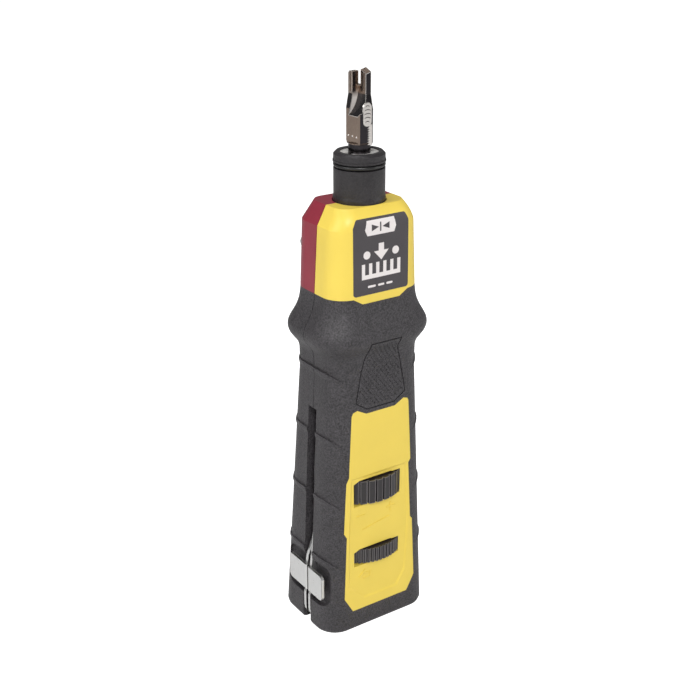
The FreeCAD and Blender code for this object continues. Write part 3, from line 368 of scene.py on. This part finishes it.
# ---------------------------------------------------------------------------------------------
# The soft grip: black thermoplastic rubber moulded over both shells, with a fine matt grain.
# Its thumb pad carries rows of small slanting ridges.
GRIP_BLACK = (0.037, 0.0335, 0.037)
PAD_WAIST = 0.0975        # height of the pad's narrow end above the sole
# right half of the pad's outline, from its top down: distance from the middle, height
PAD_HALF = [(0.0051, 0.0091), (0.0052, 0.0062), (0.0063, 0.0027), (0.0071, -0.0003),
            (0.0077, -0.0036), (0.0090, -0.0104), (0.0048, -0.0128)]
# half thickness of the patch that the ridges are laid on, and its cuts from the waist
PATCH_HALF, PATCH_STEP, PATCH_CUTS = 0.00002, 0.0015, range(-8, 6)
RIDGE = (0.0011, 0.00032, 0.00020)    # length, width, how far it stands out
RIDGE_TOP = (0.7, 0.45)               # length and width of its top, as parts of its foot
RIDGE_FULL = 2 / 3        # the part of its length that has the full width
RIDGE_STEP = (0.0016, 0.00105)        # spacing across and up the pad
RIDGE_SLANT = math.radians(50)
RIDGE_COLUMNS, RIDGE_ROWS = 15, 23
RIDGES_BELOW_WAIST = 0.002            # middle of the middle row

grip_rubber = plastic("grip_rubber", GRIP_BLACK, roughness=0.50, grain=1900, depth=0.00026,
                      mottle=0.10, specular=0.55, fleck=0.8)
finish_nodes(grip_rubber, "front_grip", "rear_grip")

pad_right = [(x, PAD_WAIST + z) for x, z in PAD_HALF]
pad_outline = pad_right + [(-x, z) for x, z in reversed(pad_right)]
pad_levels = [PAD_WAIST + PATCH_STEP * step for step in PATCH_CUTS]
pad = lay_on_front("pad_patch", [[pad_outline]], "front_grip", PATCH_HALF, pad_levels)


def ridge_shape():
    """One ridge: a low bar with a narrower top and pointed ends, lying along x."""
    length, width, height = RIDGE
    full = length * RIDGE_FULL / 2
    foot = [(-length / 2, 0), (-full, -width / 2), (full, -width / 2),
            (length / 2, 0), (full, width / 2), (-full, width / 2)]
    points = [(x, height, z) for x, z in foot]
    points += [(x * RIDGE_TOP[0], -height, z * RIDGE_TOP[1]) for x, z in foot]
    count = len(foot)
    faces = [list(range(count)), [count + i for i in reversed(range(count))]]
    for i in range(count):
        j = (i + 1) % count
        faces.append([i, i + count, j + count, j])
    return closed_piece("ridge", points, faces)


def ridge_tree():
    """Rows of one shape laid on a surface, every other row moved by half a step."""
    tree = bpy.data.node_groups.new("pad_ridges", "GeometryNodeTree")
    face = tree.interface
    face.new_socket("Surface", in_out="INPUT", socket_type="NodeSocketGeometry")
    face.new_socket("Ridge", in_out="INPUT", socket_type="NodeSocketObject")
    for size in ("Step Across", "Step Up", "Middle Height", "Slant"):
        face.new_socket(size, in_out="INPUT", socket_type="NodeSocketFloat")
    face.new_socket("Rubber", in_out="INPUT", socket_type="NodeSocketMaterial")
    face.new_socket("Ridges", in_out="OUTPUT", socket_type="NodeSocketGeometry")
    link = tree.links.new

    def add(kind, **settings):
        """New node of this tree with its attributes set."""
        node = tree.nodes.new(kind)
        for name, value in settings.items():
            setattr(node, name, value)
        return node

    def maths(operation, first, second):
        """One sum on two sockets or numbers."""
        node = add("ShaderNodeMath", operation=operation)
        for socket, value in zip(node.inputs, (first, second)):
            if isinstance(value, (int, float)):
                socket.default_value = value
            else:
                link(value, socket)
        return node.outputs[0]

    given = add("NodeGroupInput")
    across, up = given.outputs["Step Across"], given.outputs["Step Up"]
    points = add("GeometryNodePoints")
    points.inputs["Count"].default_value = RIDGE_COLUMNS * RIDGE_ROWS
    number = add("GeometryNodeInputIndex").outputs[0]
    row = maths("FLOOR", maths("DIVIDE", number, RIDGE_COLUMNS), 0)
    column = maths("SUBTRACT", maths("MODULO", number, RIDGE_COLUMNS), RIDGE_COLUMNS // 2)
    shift = maths("MULTIPLY", maths("MODULO", row, 2), 0.5)
    x = maths("MULTIPLY", maths("ADD", column, shift), across)
    rise = maths("MULTIPLY", maths("SUBTRACT", row, RIDGE_ROWS // 2), up)
    z = maths("ADD", rise, given.outputs["Middle Height"])
    place = add("ShaderNodeCombineXYZ")
    link(x, place.inputs["X"])
    link(z, place.inputs["Z"])
    place.inputs["Y"].default_value = IN_FRONT
    cast = add("GeometryNodeRaycast")
    cast.inputs["Ray Direction"].default_value = (0, 1, 0)
    cast.inputs["Ray Length"].default_value = -2 * IN_FRONT
    link(given.outputs["Surface"], cast.inputs["Target Geometry"])
    link(place.outputs[0], cast.inputs["Source Position"])
    caught = add("GeometryNodeStoreNamedAttribute", data_type="BOOLEAN", domain="POINT")
    caught.inputs["Name"].default_value = "caught"
    link(points.outputs[0], caught.inputs["Geometry"])
    link(cast.outputs["Is Hit"], caught.inputs["Value"])
    moved = add("GeometryNodeSetPosition")
    link(caught.outputs[0], moved.inputs["Geometry"])
    link(cast.outputs["Hit Position"], moved.inputs["Position"])
    held = add("GeometryNodeInputNamedAttribute", data_type="BOOLEAN")
    held.inputs["Name"].default_value = "caught"
    ridge = add("GeometryNodeObjectInfo", transform_space="ORIGINAL")
    link(given.outputs["Ridge"], ridge.inputs["Object"])
    turn = add("ShaderNodeCombineXYZ")
    link(given.outputs["Slant"], turn.inputs["Y"])
    copies = add("GeometryNodeInstanceOnPoints")
    link(moved.outputs[0], copies.inputs["Points"])
    link(held.outputs["Attribute"], copies.inputs["Selection"])
    link(ridge.outputs["Geometry"], copies.inputs["Instance"])
    link(turn.outputs[0], copies.inputs["Rotation"])
    solid = add("GeometryNodeRealizeInstances")
    link(copies.outputs[0], solid.inputs[0])
    finish = add("GeometryNodeSetMaterial")
    link(solid.outputs[0], finish.inputs["Geometry"])
    link(given.outputs["Rubber"], finish.inputs["Material"])
    result = add("NodeGroupOutput")
    link(finish.outputs[0], result.inputs["Ridges"])
    return tree


ridge = ridge_shape()
ridges_tree = ridge_tree()
layer = pad.modifiers.new("ridges", "NODES")
layer.node_group = ridges_tree
values = {"Ridge": ridge, "Step Across": RIDGE_STEP[0], "Step Up": RIDGE_STEP[1],
          "Middle Height": PAD_WAIST - RIDGES_BELOW_WAIST, "Slant": RIDGE_SLANT,
          "Rubber": grip_rubber}
for socket in ridges_tree.interface.items_tree:
    if socket.in_out == "INPUT" and socket.name in values:
        layer[socket.identifier] = values[socket.name]
bpy.context.view_layer.update()
made = bpy.data.meshes.new_from_object(pad.evaluated_get(bpy.context.evaluated_depsgraph_get()))
pad.modifiers.remove(layer)
bpy.data.objects.remove(pad)
bpy.data.objects.remove(ridge)
made.name = "thumb_pad_ridges"
thumb_ridges = bpy.data.objects.new("thumb_pad_ridges", made)
scene.collection.objects.link(thumb_ridges)
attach(thumb_ridges, "housing")

# ---------------------------------------------------------------------------------------------
# The label plate: a thin dark inlay let into the front of the head, printed in off-white with
# a six-sided badge, an arrow between two wire ends over a comb of terminals, and a broken rule.
LABEL_DARK = (0.060, 0.053, 0.058)
PRINT_WHITE = (0.80, 0.75, 0.74)
PRINT_PROUD = 0.00006
PRINT_STEP, PRINT_CUTS = 0.0009, 27   # the cuts that let the print bend
BADGE_BELOW_TOP = 0.0032
# outlines about the badge's middle: its border and the left one of the two wedges in it
BADGE = [(-0.0053, -0.0024), (0.0049, -0.0024), (0.0056, -0.0005),
         (0.0049, 0.0024), (-0.0054, 0.0024), (-0.0062, -0.0005)]
BADGE_WEDGE = [(-0.0037, -0.0011), (-0.0009, 0), (-0.0037, 0.0011)]
BADGE_BAR_X, BADGE_BAR = -0.0003, (0.00055, 0.0030, 0.0002)      # width, height, corner radius
COMB_W, COMB_BASE, TOOTH_W, TOOTH_H, COMB_TEETH = 0.0148, 0.0014, 0.0012, 0.0036, 6
COMB_ABOVE_FOOT, ARROW_ABOVE_COMB = 0.0052, 0.0006
PUSH_ARROW = [(0, 0), (0.0028, 0.0030), (0.0010, 0.0030), (0.0010, 0.0054)]      # its right half
WIRE_X, WIRE_ABOVE_ARROW, WIRE_D = 0.0055, 0.0022, 0.0026
RULE_ABOVE_FOOT, RULE_LINE, RULE_ROUND = 0.0026, 0.0007, 0.0003
RULE = [(-0.0036, 0.0030), (0.0, 0.0024), (0.0032, 0.0024)]      # middle and length of each dash

label_plate = plastic("label_plate", LABEL_DARK, roughness=0.5, grain=3000, depth=0.00004)
print_white = plastic("print_white", PRINT_WHITE, roughness=0.45, grain=3000, depth=0.00001,
                      mottle=0.02)
finish_nodes(label_plate, "front_label")

label_foot, label_top = [corner.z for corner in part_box("front_label")]
badge_z = label_top - BADGE_BELOW_TOP
badge = [(x, badge_z + z) for x, z in BADGE]
left_wedge = [(x, badge_z + z) for x, z in BADGE_WEDGE]
right_wedge = [(2 * BADGE_BAR_X - x, z) for x, z in reversed(left_wedge)]
bar = rounded_bar(BADGE_BAR_X, badge_z, *BADGE_BAR)
prints = [[badge, left_wedge, right_wedge, bar]]

comb_foot = label_foot + COMB_ABOVE_FOOT
teeth_foot = comb_foot + COMB_BASE
teeth_top = teeth_foot + TOOTH_H
comb = []
for tooth in range(COMB_TEETH):
    x = COMB_W / 2 - tooth * (COMB_W - TOOTH_W) / (COMB_TEETH - 1)
    comb += [(x, teeth_foot), (x, teeth_top), (x - TOOTH_W, teeth_top), (x - TOOTH_W, teeth_foot)]
comb = [(-COMB_W / 2, comb_foot), (COMB_W / 2, comb_foot)] + comb[1:-1]
prints.append([comb])

arrow_foot = teeth_top + ARROW_ABOVE_COMB
push_arrow = PUSH_ARROW + [(-x, z) for x, z in PUSH_ARROW[:0:-1]]
prints.append([[(x, arrow_foot + z) for x, z in push_arrow]])
for x in (-WIRE_X, WIRE_X):
    prints.append([rounded_bar(x, arrow_foot + WIRE_ABOVE_ARROW, WIRE_D, WIRE_D, WIRE_D / 2, 6)])
for x, length in RULE:
    prints.append([rounded_bar(x, label_foot + RULE_ABOVE_FOOT, length, RULE_LINE, RULE_ROUND)])
print_levels = [label_foot + PRINT_STEP * (step + 1) for step in range(PRINT_CUTS)]
label_print = lay_on_front("label_print", prints, "front_label", PRINT_PROUD, print_levels)
label_print.data.materials.append(print_white)
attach(label_print, "housing")

# ---------------------------------------------------------------------------------------------
# The thumb wheels: black acetal, one for the impact force and one for the blade store.  The
# edges of their teeth carry thin lines of painted highlight.
WHEEL_BLACK = (0.0195, 0.0165, 0.0175)
# colour of the painted highlight lines along the edges of the wheels' teeth
WHEEL_EDGE_HIGHLIGHT = (0.18, 0.17, 0.175)
EDGE_ANGLE = 0.6          # radians between the faces of an edge that is drawn
EDGE_SHORTEST = 0.00005
SAME_CORNER = 1e-6        # corners nearer than this are one
EDGE_HALF = 0.00009       # half thickness of the drawn line
RIM_SLACK = 0.0001        # the lines start this far below the rim

wheel_black = plastic("wheel_black", WHEEL_BLACK, roughness=0.30, grain=1100, depth=0.000005,
                      mottle=0.1)
wheel_edge_highlight = plastic("wheel_edge_highlight", WHEEL_EDGE_HIGHLIGHT, roughness=0.25, grain=1800, depth=0.000005)
finish_nodes(wheel_black, "impact_dial", "store_lock_wheel")


def edge_highlight_lines(node, low_z, high_z, bare_y=(0, 0)):
    """Points and faces of thin lines of painted highlight along the sharp edges of a node between
    two heights; an edge that lies wholly between the two values of bare_y gets none."""
    low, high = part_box(node)
    body = bmesh.new()
    body.from_mesh(nodes[node].data)
    bmesh.ops.remove_doubles(body, verts=body.verts, dist=SAME_CORNER)
    points, faces = [], []
    for edge in body.edges:
        a, b = [vertex.co for vertex in edge.verts]
        if len(edge.link_faces) != 2 or edge.calc_face_angle() < EDGE_ANGLE:
            continue
        if min(a.z, b.z) < low_z or max(a.z, b.z) > high_z or (b - a).length < EDGE_SHORTEST:
            continue
        if bare_y[0] < min(a.y, b.y) and max(a.y, b.y) < bare_y[1]:
            continue
        out = (edge.link_faces[0].normal + edge.link_faces[1].normal).normalized() * EDGE_HALF
        side = out.cross(b - a).normalized() * EDGE_HALF
        start = len(points)
        for end in (a, b):
            for corner in (end + out, end + side, end - out, end - side):
                points.append([min(max(c, l), h) for c, l, h in zip(corner, low, high)])
        faces.append([start + i for i in range(4)])
        faces.append([start + 4 + i for i in reversed(range(4))])
        for i in range(4):
            j = (i + 1) % 4
            faces.append([start + i, start + i + 4, start + j + 4, start + j])
    body.free()
    return points, faces


# each wheel gets its painted edge highlights as a piece of its own
for node, body in (("impact_dial", "impact_dial"), ("store_lock_wheel", "store_lock")):
    low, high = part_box(node)
    rim_low = dial_foot if node == "impact_dial" else low.z
    edges = closed_piece(body + "_edges", *edge_highlight_lines(node, rim_low - RIM_SLACK, high.z))
    edges.data.materials.append(wheel_edge_highlight)
    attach(edges, body)

# ---------------------------------------------------------------------------------------------
# The nose: a satin black collar with a rubber ring, a turned steel socket and its split lock
# ring.  They and the long steel rod behind them are pressed into the housing together.
COLLAR_BLACK = (0.0215, 0.019, 0.021)
RING_BLACK = (0.015, 0.015, 0.015)
SOCKET_BRIGHT = (0.86, 0.84, 0.81)
SPRING_GREY = (0.45, 0.45, 0.46)
METAL_GLOSS = 0.08        # how far the roughness of a metal varies to each side
METAL_RELIEF = 0.00001    # depth of the lines left by grinding or turning

collar_black = plastic("collar_black", COLLAR_BLACK, roughness=0.40, grain=1900, depth=0.00010,
                       mottle=0.2, fleck=0.35)
ring_rubber = plastic("ring_rubber", RING_BLACK, roughness=0.35, grain=1500, depth=0.00002)
finish_nodes(collar_black, "nose_collar")
finish_nodes(ring_rubber, "collar_o_ring")


def metal(name, colour, roughness, line_scale, stretch=(1, 1, 1), mottle=0.08, bare=1.0):
    """Ground or turned metal; stretch squeezes the grain along each axis, bare is 1 for clean
    metal and less for a frosted plating."""
    mat = bpy.data.materials.new(name)
    mat.use_nodes = True
    tree = mat.node_tree
    shader = tree.nodes["Principled BSDF"]
    shader.inputs["Metallic"].default_value = bare
    place = add_node(tree, "TexCoord")
    turn = add_node(tree, "Mapping")
    turn.inputs["Scale"].default_value = stretch
    tree.links.new(place.outputs["Object"], turn.inputs["Vector"])
    lines = noise(tree, turn.outputs[0], line_scale, 4).outputs["Fac"]
    tree.links.new(clouded(tree, lines, colour, mottle), shader.inputs["Base Color"])
    gloss = spread(tree, lines, roughness - METAL_GLOSS, roughness + METAL_GLOSS)
    textured(tree, lines, gloss, METAL_RELIEF)
    return mat


socket_steel = metal("socket_steel", SOCKET_BRIGHT, roughness=0.36, line_scale=500,
                     stretch=(1, 1, 6), bare=0.5)
spring_steel = metal("spring_steel", SPRING_GREY, roughness=0.3, line_scale=900)
finish_nodes(socket_steel, "blade_socket", "plunger_rod")
finish_nodes(spring_steel, "blade_lock_ring", "return_spring", "main_spring", "sear_spring")

# ---------------------------------------------------------------------------------------------
# The two blades, one in the nose and one in the store: hardened tool steel, ground and polished
# with a brownish sheen, each with an engraved oval, a short rack of teeth and three bright pips.
BLADE_BROWN = (0.38, 0.29, 0.235)
# near black for painted shade and for the shank's painted reflection of the collar; grey for
# painted shade in the hollow
SHADE_AND_REFLECTION_BLACK = (0.045, 0.041, 0.045)
HOLLOW_SHADE_GREY = (0.085, 0.080, 0.083)
WALL_BRIGHT, WALL_BARE = (0.80, 0.75, 0.71), 0.2     # frosted where the grinding wheel ran out
# Each painted shade and the polished wall begin at the first value and are full at the second: of
# the surface's direction, of the place across the blade, or of the height above its tip.
FACING_FRONT, FACING_LEFT, FACING_UP = (-0.75, -0.95), (-0.3, -0.6), (0.02, 0.06)
OUTSIDE_Y, INSIDE_Y, OUTER_X = (-0.0020, -0.0026), (-0.0012, -0.0004), (-0.0006, -0.0009)
WALL_Z, PRONG_Z, SHANK_Z = (-0.0062, -0.0090), (-0.0078, -0.0070), (-0.0227, -0.0230)


def rising(tree, socket, ends, start=0.0):
    """0 up to the first of the two ends, 1 from the second, both counted from start."""
    return spread(tree, socket, 0, 1, [start + end for end in ends])


def product(tree, first, second):
    """Where both masks hold."""
    both = add_node(tree, "Math", operation="MULTIPLY")
    tree.links.new(first, both.inputs[0])
    tree.links.new(second, both.inputs[1])
    return both.outputs[0]


def painted(tree, under, over, share):
    """The colour over on top of what lies under it, as far as share goes from 0 to 1."""
    mix = add_node(tree, "Mix", data_type="RGBA")
    layers = [socket for socket in mix.inputs if socket.type == "RGBA"]
    tree.links.new(share, mix.inputs["Factor"])
    tree.links.new(under, layers[0])
    layers[1].default_value = (*over, 1)
    return [socket for socket in mix.outputs if socket.type == "RGBA"][0]


def blade_metal(name, tip):
    """Ground steel with painted shade, near black on the narrow front face and the prongs and
    grey on the floor of the hollow in the left face; the shank is near black as a painted
    reflection of the dark collar; a polished lower wall in the hollow of the left face."""
    mat = metal(name, BLADE_BROWN, roughness=0.22, line_scale=1500, stretch=(1, 1, 0.25))
    tree = mat.node_tree
    shader = tree.nodes["Principled BSDF"]
    place = [node for node in tree.nodes if node.bl_idname == "ShaderNodeTexCoord"][0]
    facing = add_node(tree, "SeparateXYZ")
    tree.links.new(place.outputs["Normal"], facing.inputs[0])
    spot = add_node(tree, "SeparateXYZ")
    tree.links.new(place.outputs["Object"], spot.inputs[0])

    front = rising(tree, facing.outputs["Y"], FACING_FRONT)
    left = rising(tree, facing.outputs["X"], FACING_LEFT)
    sloping = rising(tree, facing.outputs["Z"], FACING_UP)
    outside = rising(tree, spot.outputs["Y"], OUTSIDE_Y)
    inside = rising(tree, spot.outputs["Y"], INSIDE_Y)
    outer = rising(tree, spot.outputs["X"], OUTER_X)
    low = rising(tree, spot.outputs["Z"], WALL_Z, tip)
    high = rising(tree, spot.outputs["Z"], PRONG_Z, tip)
    shank = rising(tree, spot.outputs["Z"], SHANK_Z, tip)
    inner_front = product(tree, front, inside)
    wall = product(tree, inner_front, low)
    prong = product(tree, inner_front, product(tree, high, outer))

    colour = shader.inputs["Base Color"].links[0].from_socket
    # painted shade on the floor of the hollow in the left face
    colour = painted(tree, colour, HOLLOW_SHADE_GREY, product(tree, left, sloping))
    # painted shade on the narrow front face
    colour = painted(tree, colour, SHADE_AND_REFLECTION_BLACK, product(tree, front, outside))
    colour = painted(tree, colour, WALL_BRIGHT, wall)
    # painted shade on the inner faces of the prongs
    colour = painted(tree, colour, SHADE_AND_REFLECTION_BLACK, prong)
    # the shank is painted dark as a reflection of the dark collar
    colour = painted(tree, colour, SHADE_AND_REFLECTION_BLACK, shank)
    tree.links.new(colour, shader.inputs["Base Color"])
    tree.links.new(spread(tree, wall, 1, WALL_BARE), shader.inputs["Metallic"])
    return mat


# the bright marks, and the painted highlight lines along the blade's edges, share one bright
# steel
BRIGHT_MARK_AND_HIGHLIGHT, ENGRAVED_DARK = (0.80, 0.76, 0.72), (0.10, 0.09, 0.09)
HIGHLIGHTS_BELOW_TIP = 0.0165  # the edges of the prongs and the hollow catch the light
BLADE_HALF_T = 0.0024
OVAL_X, OVAL_BELOW_TIP = 0.0003, 0.0137
OVAL_W, OVAL_H, OVAL_ROUND = 0.0033, 0.0076, 0.48    # its corners' radius is a part of its width
# a plate stands out and reaches in from the blade's face; its top is smaller than its foot
OVAL_OUT, OVAL_IN, OVAL_TOP = 0.00008, 0.0002, 0.94
STROKES = (-0.31, -0.155, 0.0, 0.155, 0.31)      # heights of the engraved arcs in the oval
STROKE_HALF, STROKE_RISE = 0.00014, 0.0004
STROKE_OUT, STROKE_FOOT, STROKE_TOP = 0.00011, 0.00002, 0.9      # they stand on the oval
STROKE_REACH = math.sqrt(0.15)        # their ellipse's half axes, as parts of the oval's sizes
TEETH, TOOTH_PITCH, TEETH_X = 9, 0.00072, (0.0003, 0.0021)
TOOTH_DEPTH = (0.0007, 0.0008)        # of its upper and its lower flank
TOOTH_POINT, TOOTH_ROOT = 0.35, 0.2   # heights in the pitch, as parts of it
TEETH_BELOW_TIP = 0.0232
TEETH_OUT, TEETH_IN, TEETH_TOP = 0.00005, 0.0001, 0.99
PIP_BELOW_TIP, PIP_R, PIP_Y = 0.0207, 0.00036, (0.0025, 0.0003, -0.0019)
PIP_FLAT = 0.7            # how far a pip stands out, as a part of its radius
PIP_RINGS, PIP_SIDES = 3, 12

bright_steel_and_highlight = metal("bright_steel_and_highlight", BRIGHT_MARK_AND_HIGHLIGHT, roughness=0.24, line_scale=2500)
engraved_steel = metal("engraved_steel", ENGRAVED_DARK, roughness=0.35, line_scale=2500)


def add_plate(points, faces, outline, near, far, top):
    """Adds a raised plate with sloping walls on the blade's front face: its (x, z) outline, the
    depths of its top and its foot, and its top's size as a part of its foot's."""
    start = len(points)
    count = len(outline)
    mx = sum(x for x, z in outline) / count
    mz = sum(z for x, z in outline) / count
    points += [(x, far, z) for x, z in outline]
    points += [(mx + (x - mx) * top, near, mz + (z - mz) * top) for x, z in outline]
    faces.append([start + i for i in range(count)])
    faces.append([start + count + i for i in reversed(range(count))])
    for i in range(count):
        j = (i + 1) % count
        faces.append([start + i, start + i + count, start + j + count, start + j])


def add_pip(points, faces, y, z):
    """Adds a low round pip on the blade's left face."""
    start = len(points)
    for ring in range(PIP_RINGS):
        rise = math.radians(90 * ring / PIP_RINGS)
        reach = PIP_R * math.cos(rise)
        x = -BLADE_HALF_T - PIP_FLAT * PIP_R * math.sin(rise)
        for side in range(PIP_SIDES):
            turn = 2 * math.pi * side / PIP_SIDES
            points.append((x, y + reach * math.cos(turn), z + reach * math.sin(turn)))
    top = len(points)
    points.append((-BLADE_HALF_T - PIP_FLAT * PIP_R, y, z))
    faces.append([start + side for side in range(PIP_SIDES)])
    for ring in range(PIP_RINGS):
        for side in range(PIP_SIDES):
            a = start + ring * PIP_SIDES + side
            b = start + ring * PIP_SIDES + (side + 1) % PIP_SIDES
            if ring < PIP_RINGS - 1:
                faces.append([a, b, b + PIP_SIDES, a + PIP_SIDES])
            else:
                faces.append([a, b, top])


def rack_outline(foot):
    """The short rack of saw teeth, from the height of its foot up."""
    point_x, back_x = TEETH_X
    outline = [(back_x, foot), (back_x, foot + TEETH * TOOTH_PITCH)]
    for step in reversed(range(TEETH)):
        z = foot + step * TOOTH_PITCH
        outline += [(point_x + TOOTH_DEPTH[0], z + TOOTH_PITCH)]
        outline += [(point_x, z + TOOTH_POINT * TOOTH_PITCH)]
        outline += [(point_x + TOOTH_DEPTH[1], z + TOOTH_ROOT * TOOTH_PITCH)]
    return outline


def stroke_outline(middle, share):
    """One engraved arc in the oval, at that part of the oval's height from its middle."""
    z = middle + share * OVAL_H
    reach = OVAL_W * math.sqrt(STROKE_REACH ** 2 - share ** 2)
    arch = [(OVAL_X + reach * math.cos(math.radians(turn)),
             z + STROKE_RISE * math.sin(math.radians(turn))) for turn in range(0, 181, 30)]
    upper = [(x, z + STROKE_HALF) for x, z in arch]
    return upper + [(x, z - STROKE_HALF) for x, z in reversed(arch)]


def blade_details(node, body):
    """Finish of one blade, the bright and the dark marks on it, and painted highlights along its
    edges.
    """
    low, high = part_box(node)
    tip, face_y = high.z, low.y
    finish_nodes(blade_metal(node + "_steel", tip), node)
    middle = tip - OVAL_BELOW_TIP
    oval = rounded_bar(OVAL_X, middle, OVAL_W, OVAL_H, OVAL_W * OVAL_ROUND, 7)
    # painted highlight lines along the sharp edges near the tip
    points, faces = edge_highlight_lines(node, tip - HIGHLIGHTS_BELOW_TIP, tip)
    add_plate(points, faces, oval, face_y - OVAL_OUT, face_y + OVAL_IN, OVAL_TOP)
    add_plate(points, faces, rack_outline(tip - TEETH_BELOW_TIP), face_y - TEETH_OUT,
              face_y + TEETH_IN, TEETH_TOP)
    for y in PIP_Y:
        add_pip(points, faces, y, tip - PIP_BELOW_TIP)
    marks = closed_piece(body + "_marks", points, faces)
    marks.data.materials.append(bright_steel_and_highlight)

    points, faces = [], []
    for share in STROKES:
        add_plate(points, faces, stroke_outline(middle, share), face_y - STROKE_OUT,
                  face_y - STROKE_FOOT, STROKE_TOP)
    strokes = closed_piece(body + "_engraving", points, faces)
    strokes.data.materials.append(engraved_steel)
    for piece in (marks, strokes):
        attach(piece, body)


blade_details("blade", "blade")
blade_details("spare_blade", "spare_blade")

# ---------------------------------------------------------------------------------------------
# The folding tools: stamped spring steel, satin nickel plated, on a ground pivot pin.  Their
# thumb tabs meet in a narrow seam that carries painted shade, and their edges carry painted
# highlights.
TOOL_GREY = (0.72, 0.72, 0.71)
PIN_GREY = (0.5, 0.5, 0.51)
TAB_EDGE_HIGHLIGHT = (0.92, 0.91, 0.88)
TAB_LOW, TAB_HIGH = 0.0128, 0.0236    # heights between which the thumb tabs lie
SEAM_SHADE = (0.045, 0.038, 0.036)
SEAM_EDGE = 0.00013       # how far the painted shade reaches round each side of the seam
SEAM_INNER = -0.0185      # the painted shade lies only on the tabs, outside this x

tool_steel = metal("tool_steel", TOOL_GREY, roughness=0.30, line_scale=900, stretch=(1, 1, 0.3),
                   mottle=0.03)
pin_steel = metal("pin_steel", PIN_GREY, roughness=0.3, line_scale=900, stretch=(1, 0.2, 1))
tab_edge_highlight = metal("tab_edge_highlight", TAB_EDGE_HIGHLIGHT, roughness=0.2, line_scale=900)
finish_nodes(tool_steel, "hook_tool", "spudger_tool")

seam_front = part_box("hook_tool")[1].y
seam_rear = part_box("spudger_tool")[0].y
# paint shade into the tool steel along the seam between the two tabs
tree = tool_steel.node_tree
place = add_node(tree, "TexCoord")
split = add_node(tree, "SeparateXYZ")
tree.links.new(place.outputs["Object"], split.inputs[0])
in_seam = add_node(tree, "Math", operation="COMPARE")
in_seam.inputs[1].default_value = (seam_front + seam_rear) / 2
in_seam.inputs[2].default_value = (seam_rear - seam_front) / 2 + SEAM_EDGE
tree.links.new(split.outputs["Y"], in_seam.inputs[0])
on_tab = add_node(tree, "Math", operation="LESS_THAN")
on_tab.inputs[1].default_value = SEAM_INNER
tree.links.new(split.outputs["X"], on_tab.inputs[0])
painted_seam_shade = product(tree, in_seam.outputs[0], on_tab.outputs[0])
base = tree.nodes["Principled BSDF"].inputs["Base Color"]
tree.links.new(painted(tree, base.links[0].from_socket, SEAM_SHADE, painted_seam_shade), base)

# the tabs' edges get thin lines of painted highlight, none inside the seam
seam = (seam_front - SEAM_EDGE, seam_rear + SEAM_EDGE)
for node, body in (("hook_tool", "hook"), ("spudger_tool", "spudger")):
    edges = closed_piece(body + "_edges", *edge_highlight_lines(node, TAB_LOW, TAB_HIGH, seam))
    edges.data.materials.append(tab_edge_highlight)
    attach(edges, body)
finish_nodes(pin_steel, "fold_pivot_pin", "fold_washers", "housing_screws")

# ---------------------------------------------------------------------------------------------
# The hidden mechanism: sintered hammer and sear, nylon bushing, spring seat and blade sleeve,
# all dropped into the shells before these are screwed together.
HAMMER_GREY = (0.3, 0.3, 0.31)
NYLON_WHITE, NYLON_GREY = (0.55, 0.54, 0.50), (0.10, 0.10, 0.11)

hammer_steel = metal("hammer_steel", HAMMER_GREY, roughness=0.45, line_scale=1500)
nylon = plastic("nylon", NYLON_WHITE, roughness=0.45, grain=1500, depth=0.00003)
nylon_dark = plastic("nylon_dark", NYLON_GREY, roughness=0.45, grain=1500, depth=0.00003)
finish_nodes(hammer_steel, "hammer", "sear_plate")
finish_nodes(nylon, "nose_bushing", "spring_seat")
finish_nodes(nylon_dark, "spare_blade_sleeve")

# ---------------------------------------------------------------------------------------------
# The three coil springs: hard-drawn steel wire with closed ends.  Each is a copy of its coil that
# takes its place on the body it sits on: under the collar, under the hammer and behind the sear
# plate.

# body it sits on, slide that shortens it, direction away from its fixed end, travel in metres
SPRINGS = {"return_spring": ("housing", "nose_slide", (0, 0, 1), 0.010),
           "main_spring": ("spring_seat", "hammer_slide", (0, 0, 1), 0.010),
           "sear_spring": ("hammer", "sear_slide", (1, 0, 0), 0.0012)}

for node, (body, slide, away, travel) in SPRINGS.items():
    low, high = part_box(node)
    length = (high - low).dot(Vector(away))
    coil = bpy.data.objects.new(f"{node}_coil", nodes[node].data.copy())
    scene.collection.objects.link(coil)
    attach(coil, body)
    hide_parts(node)
    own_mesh(coil)
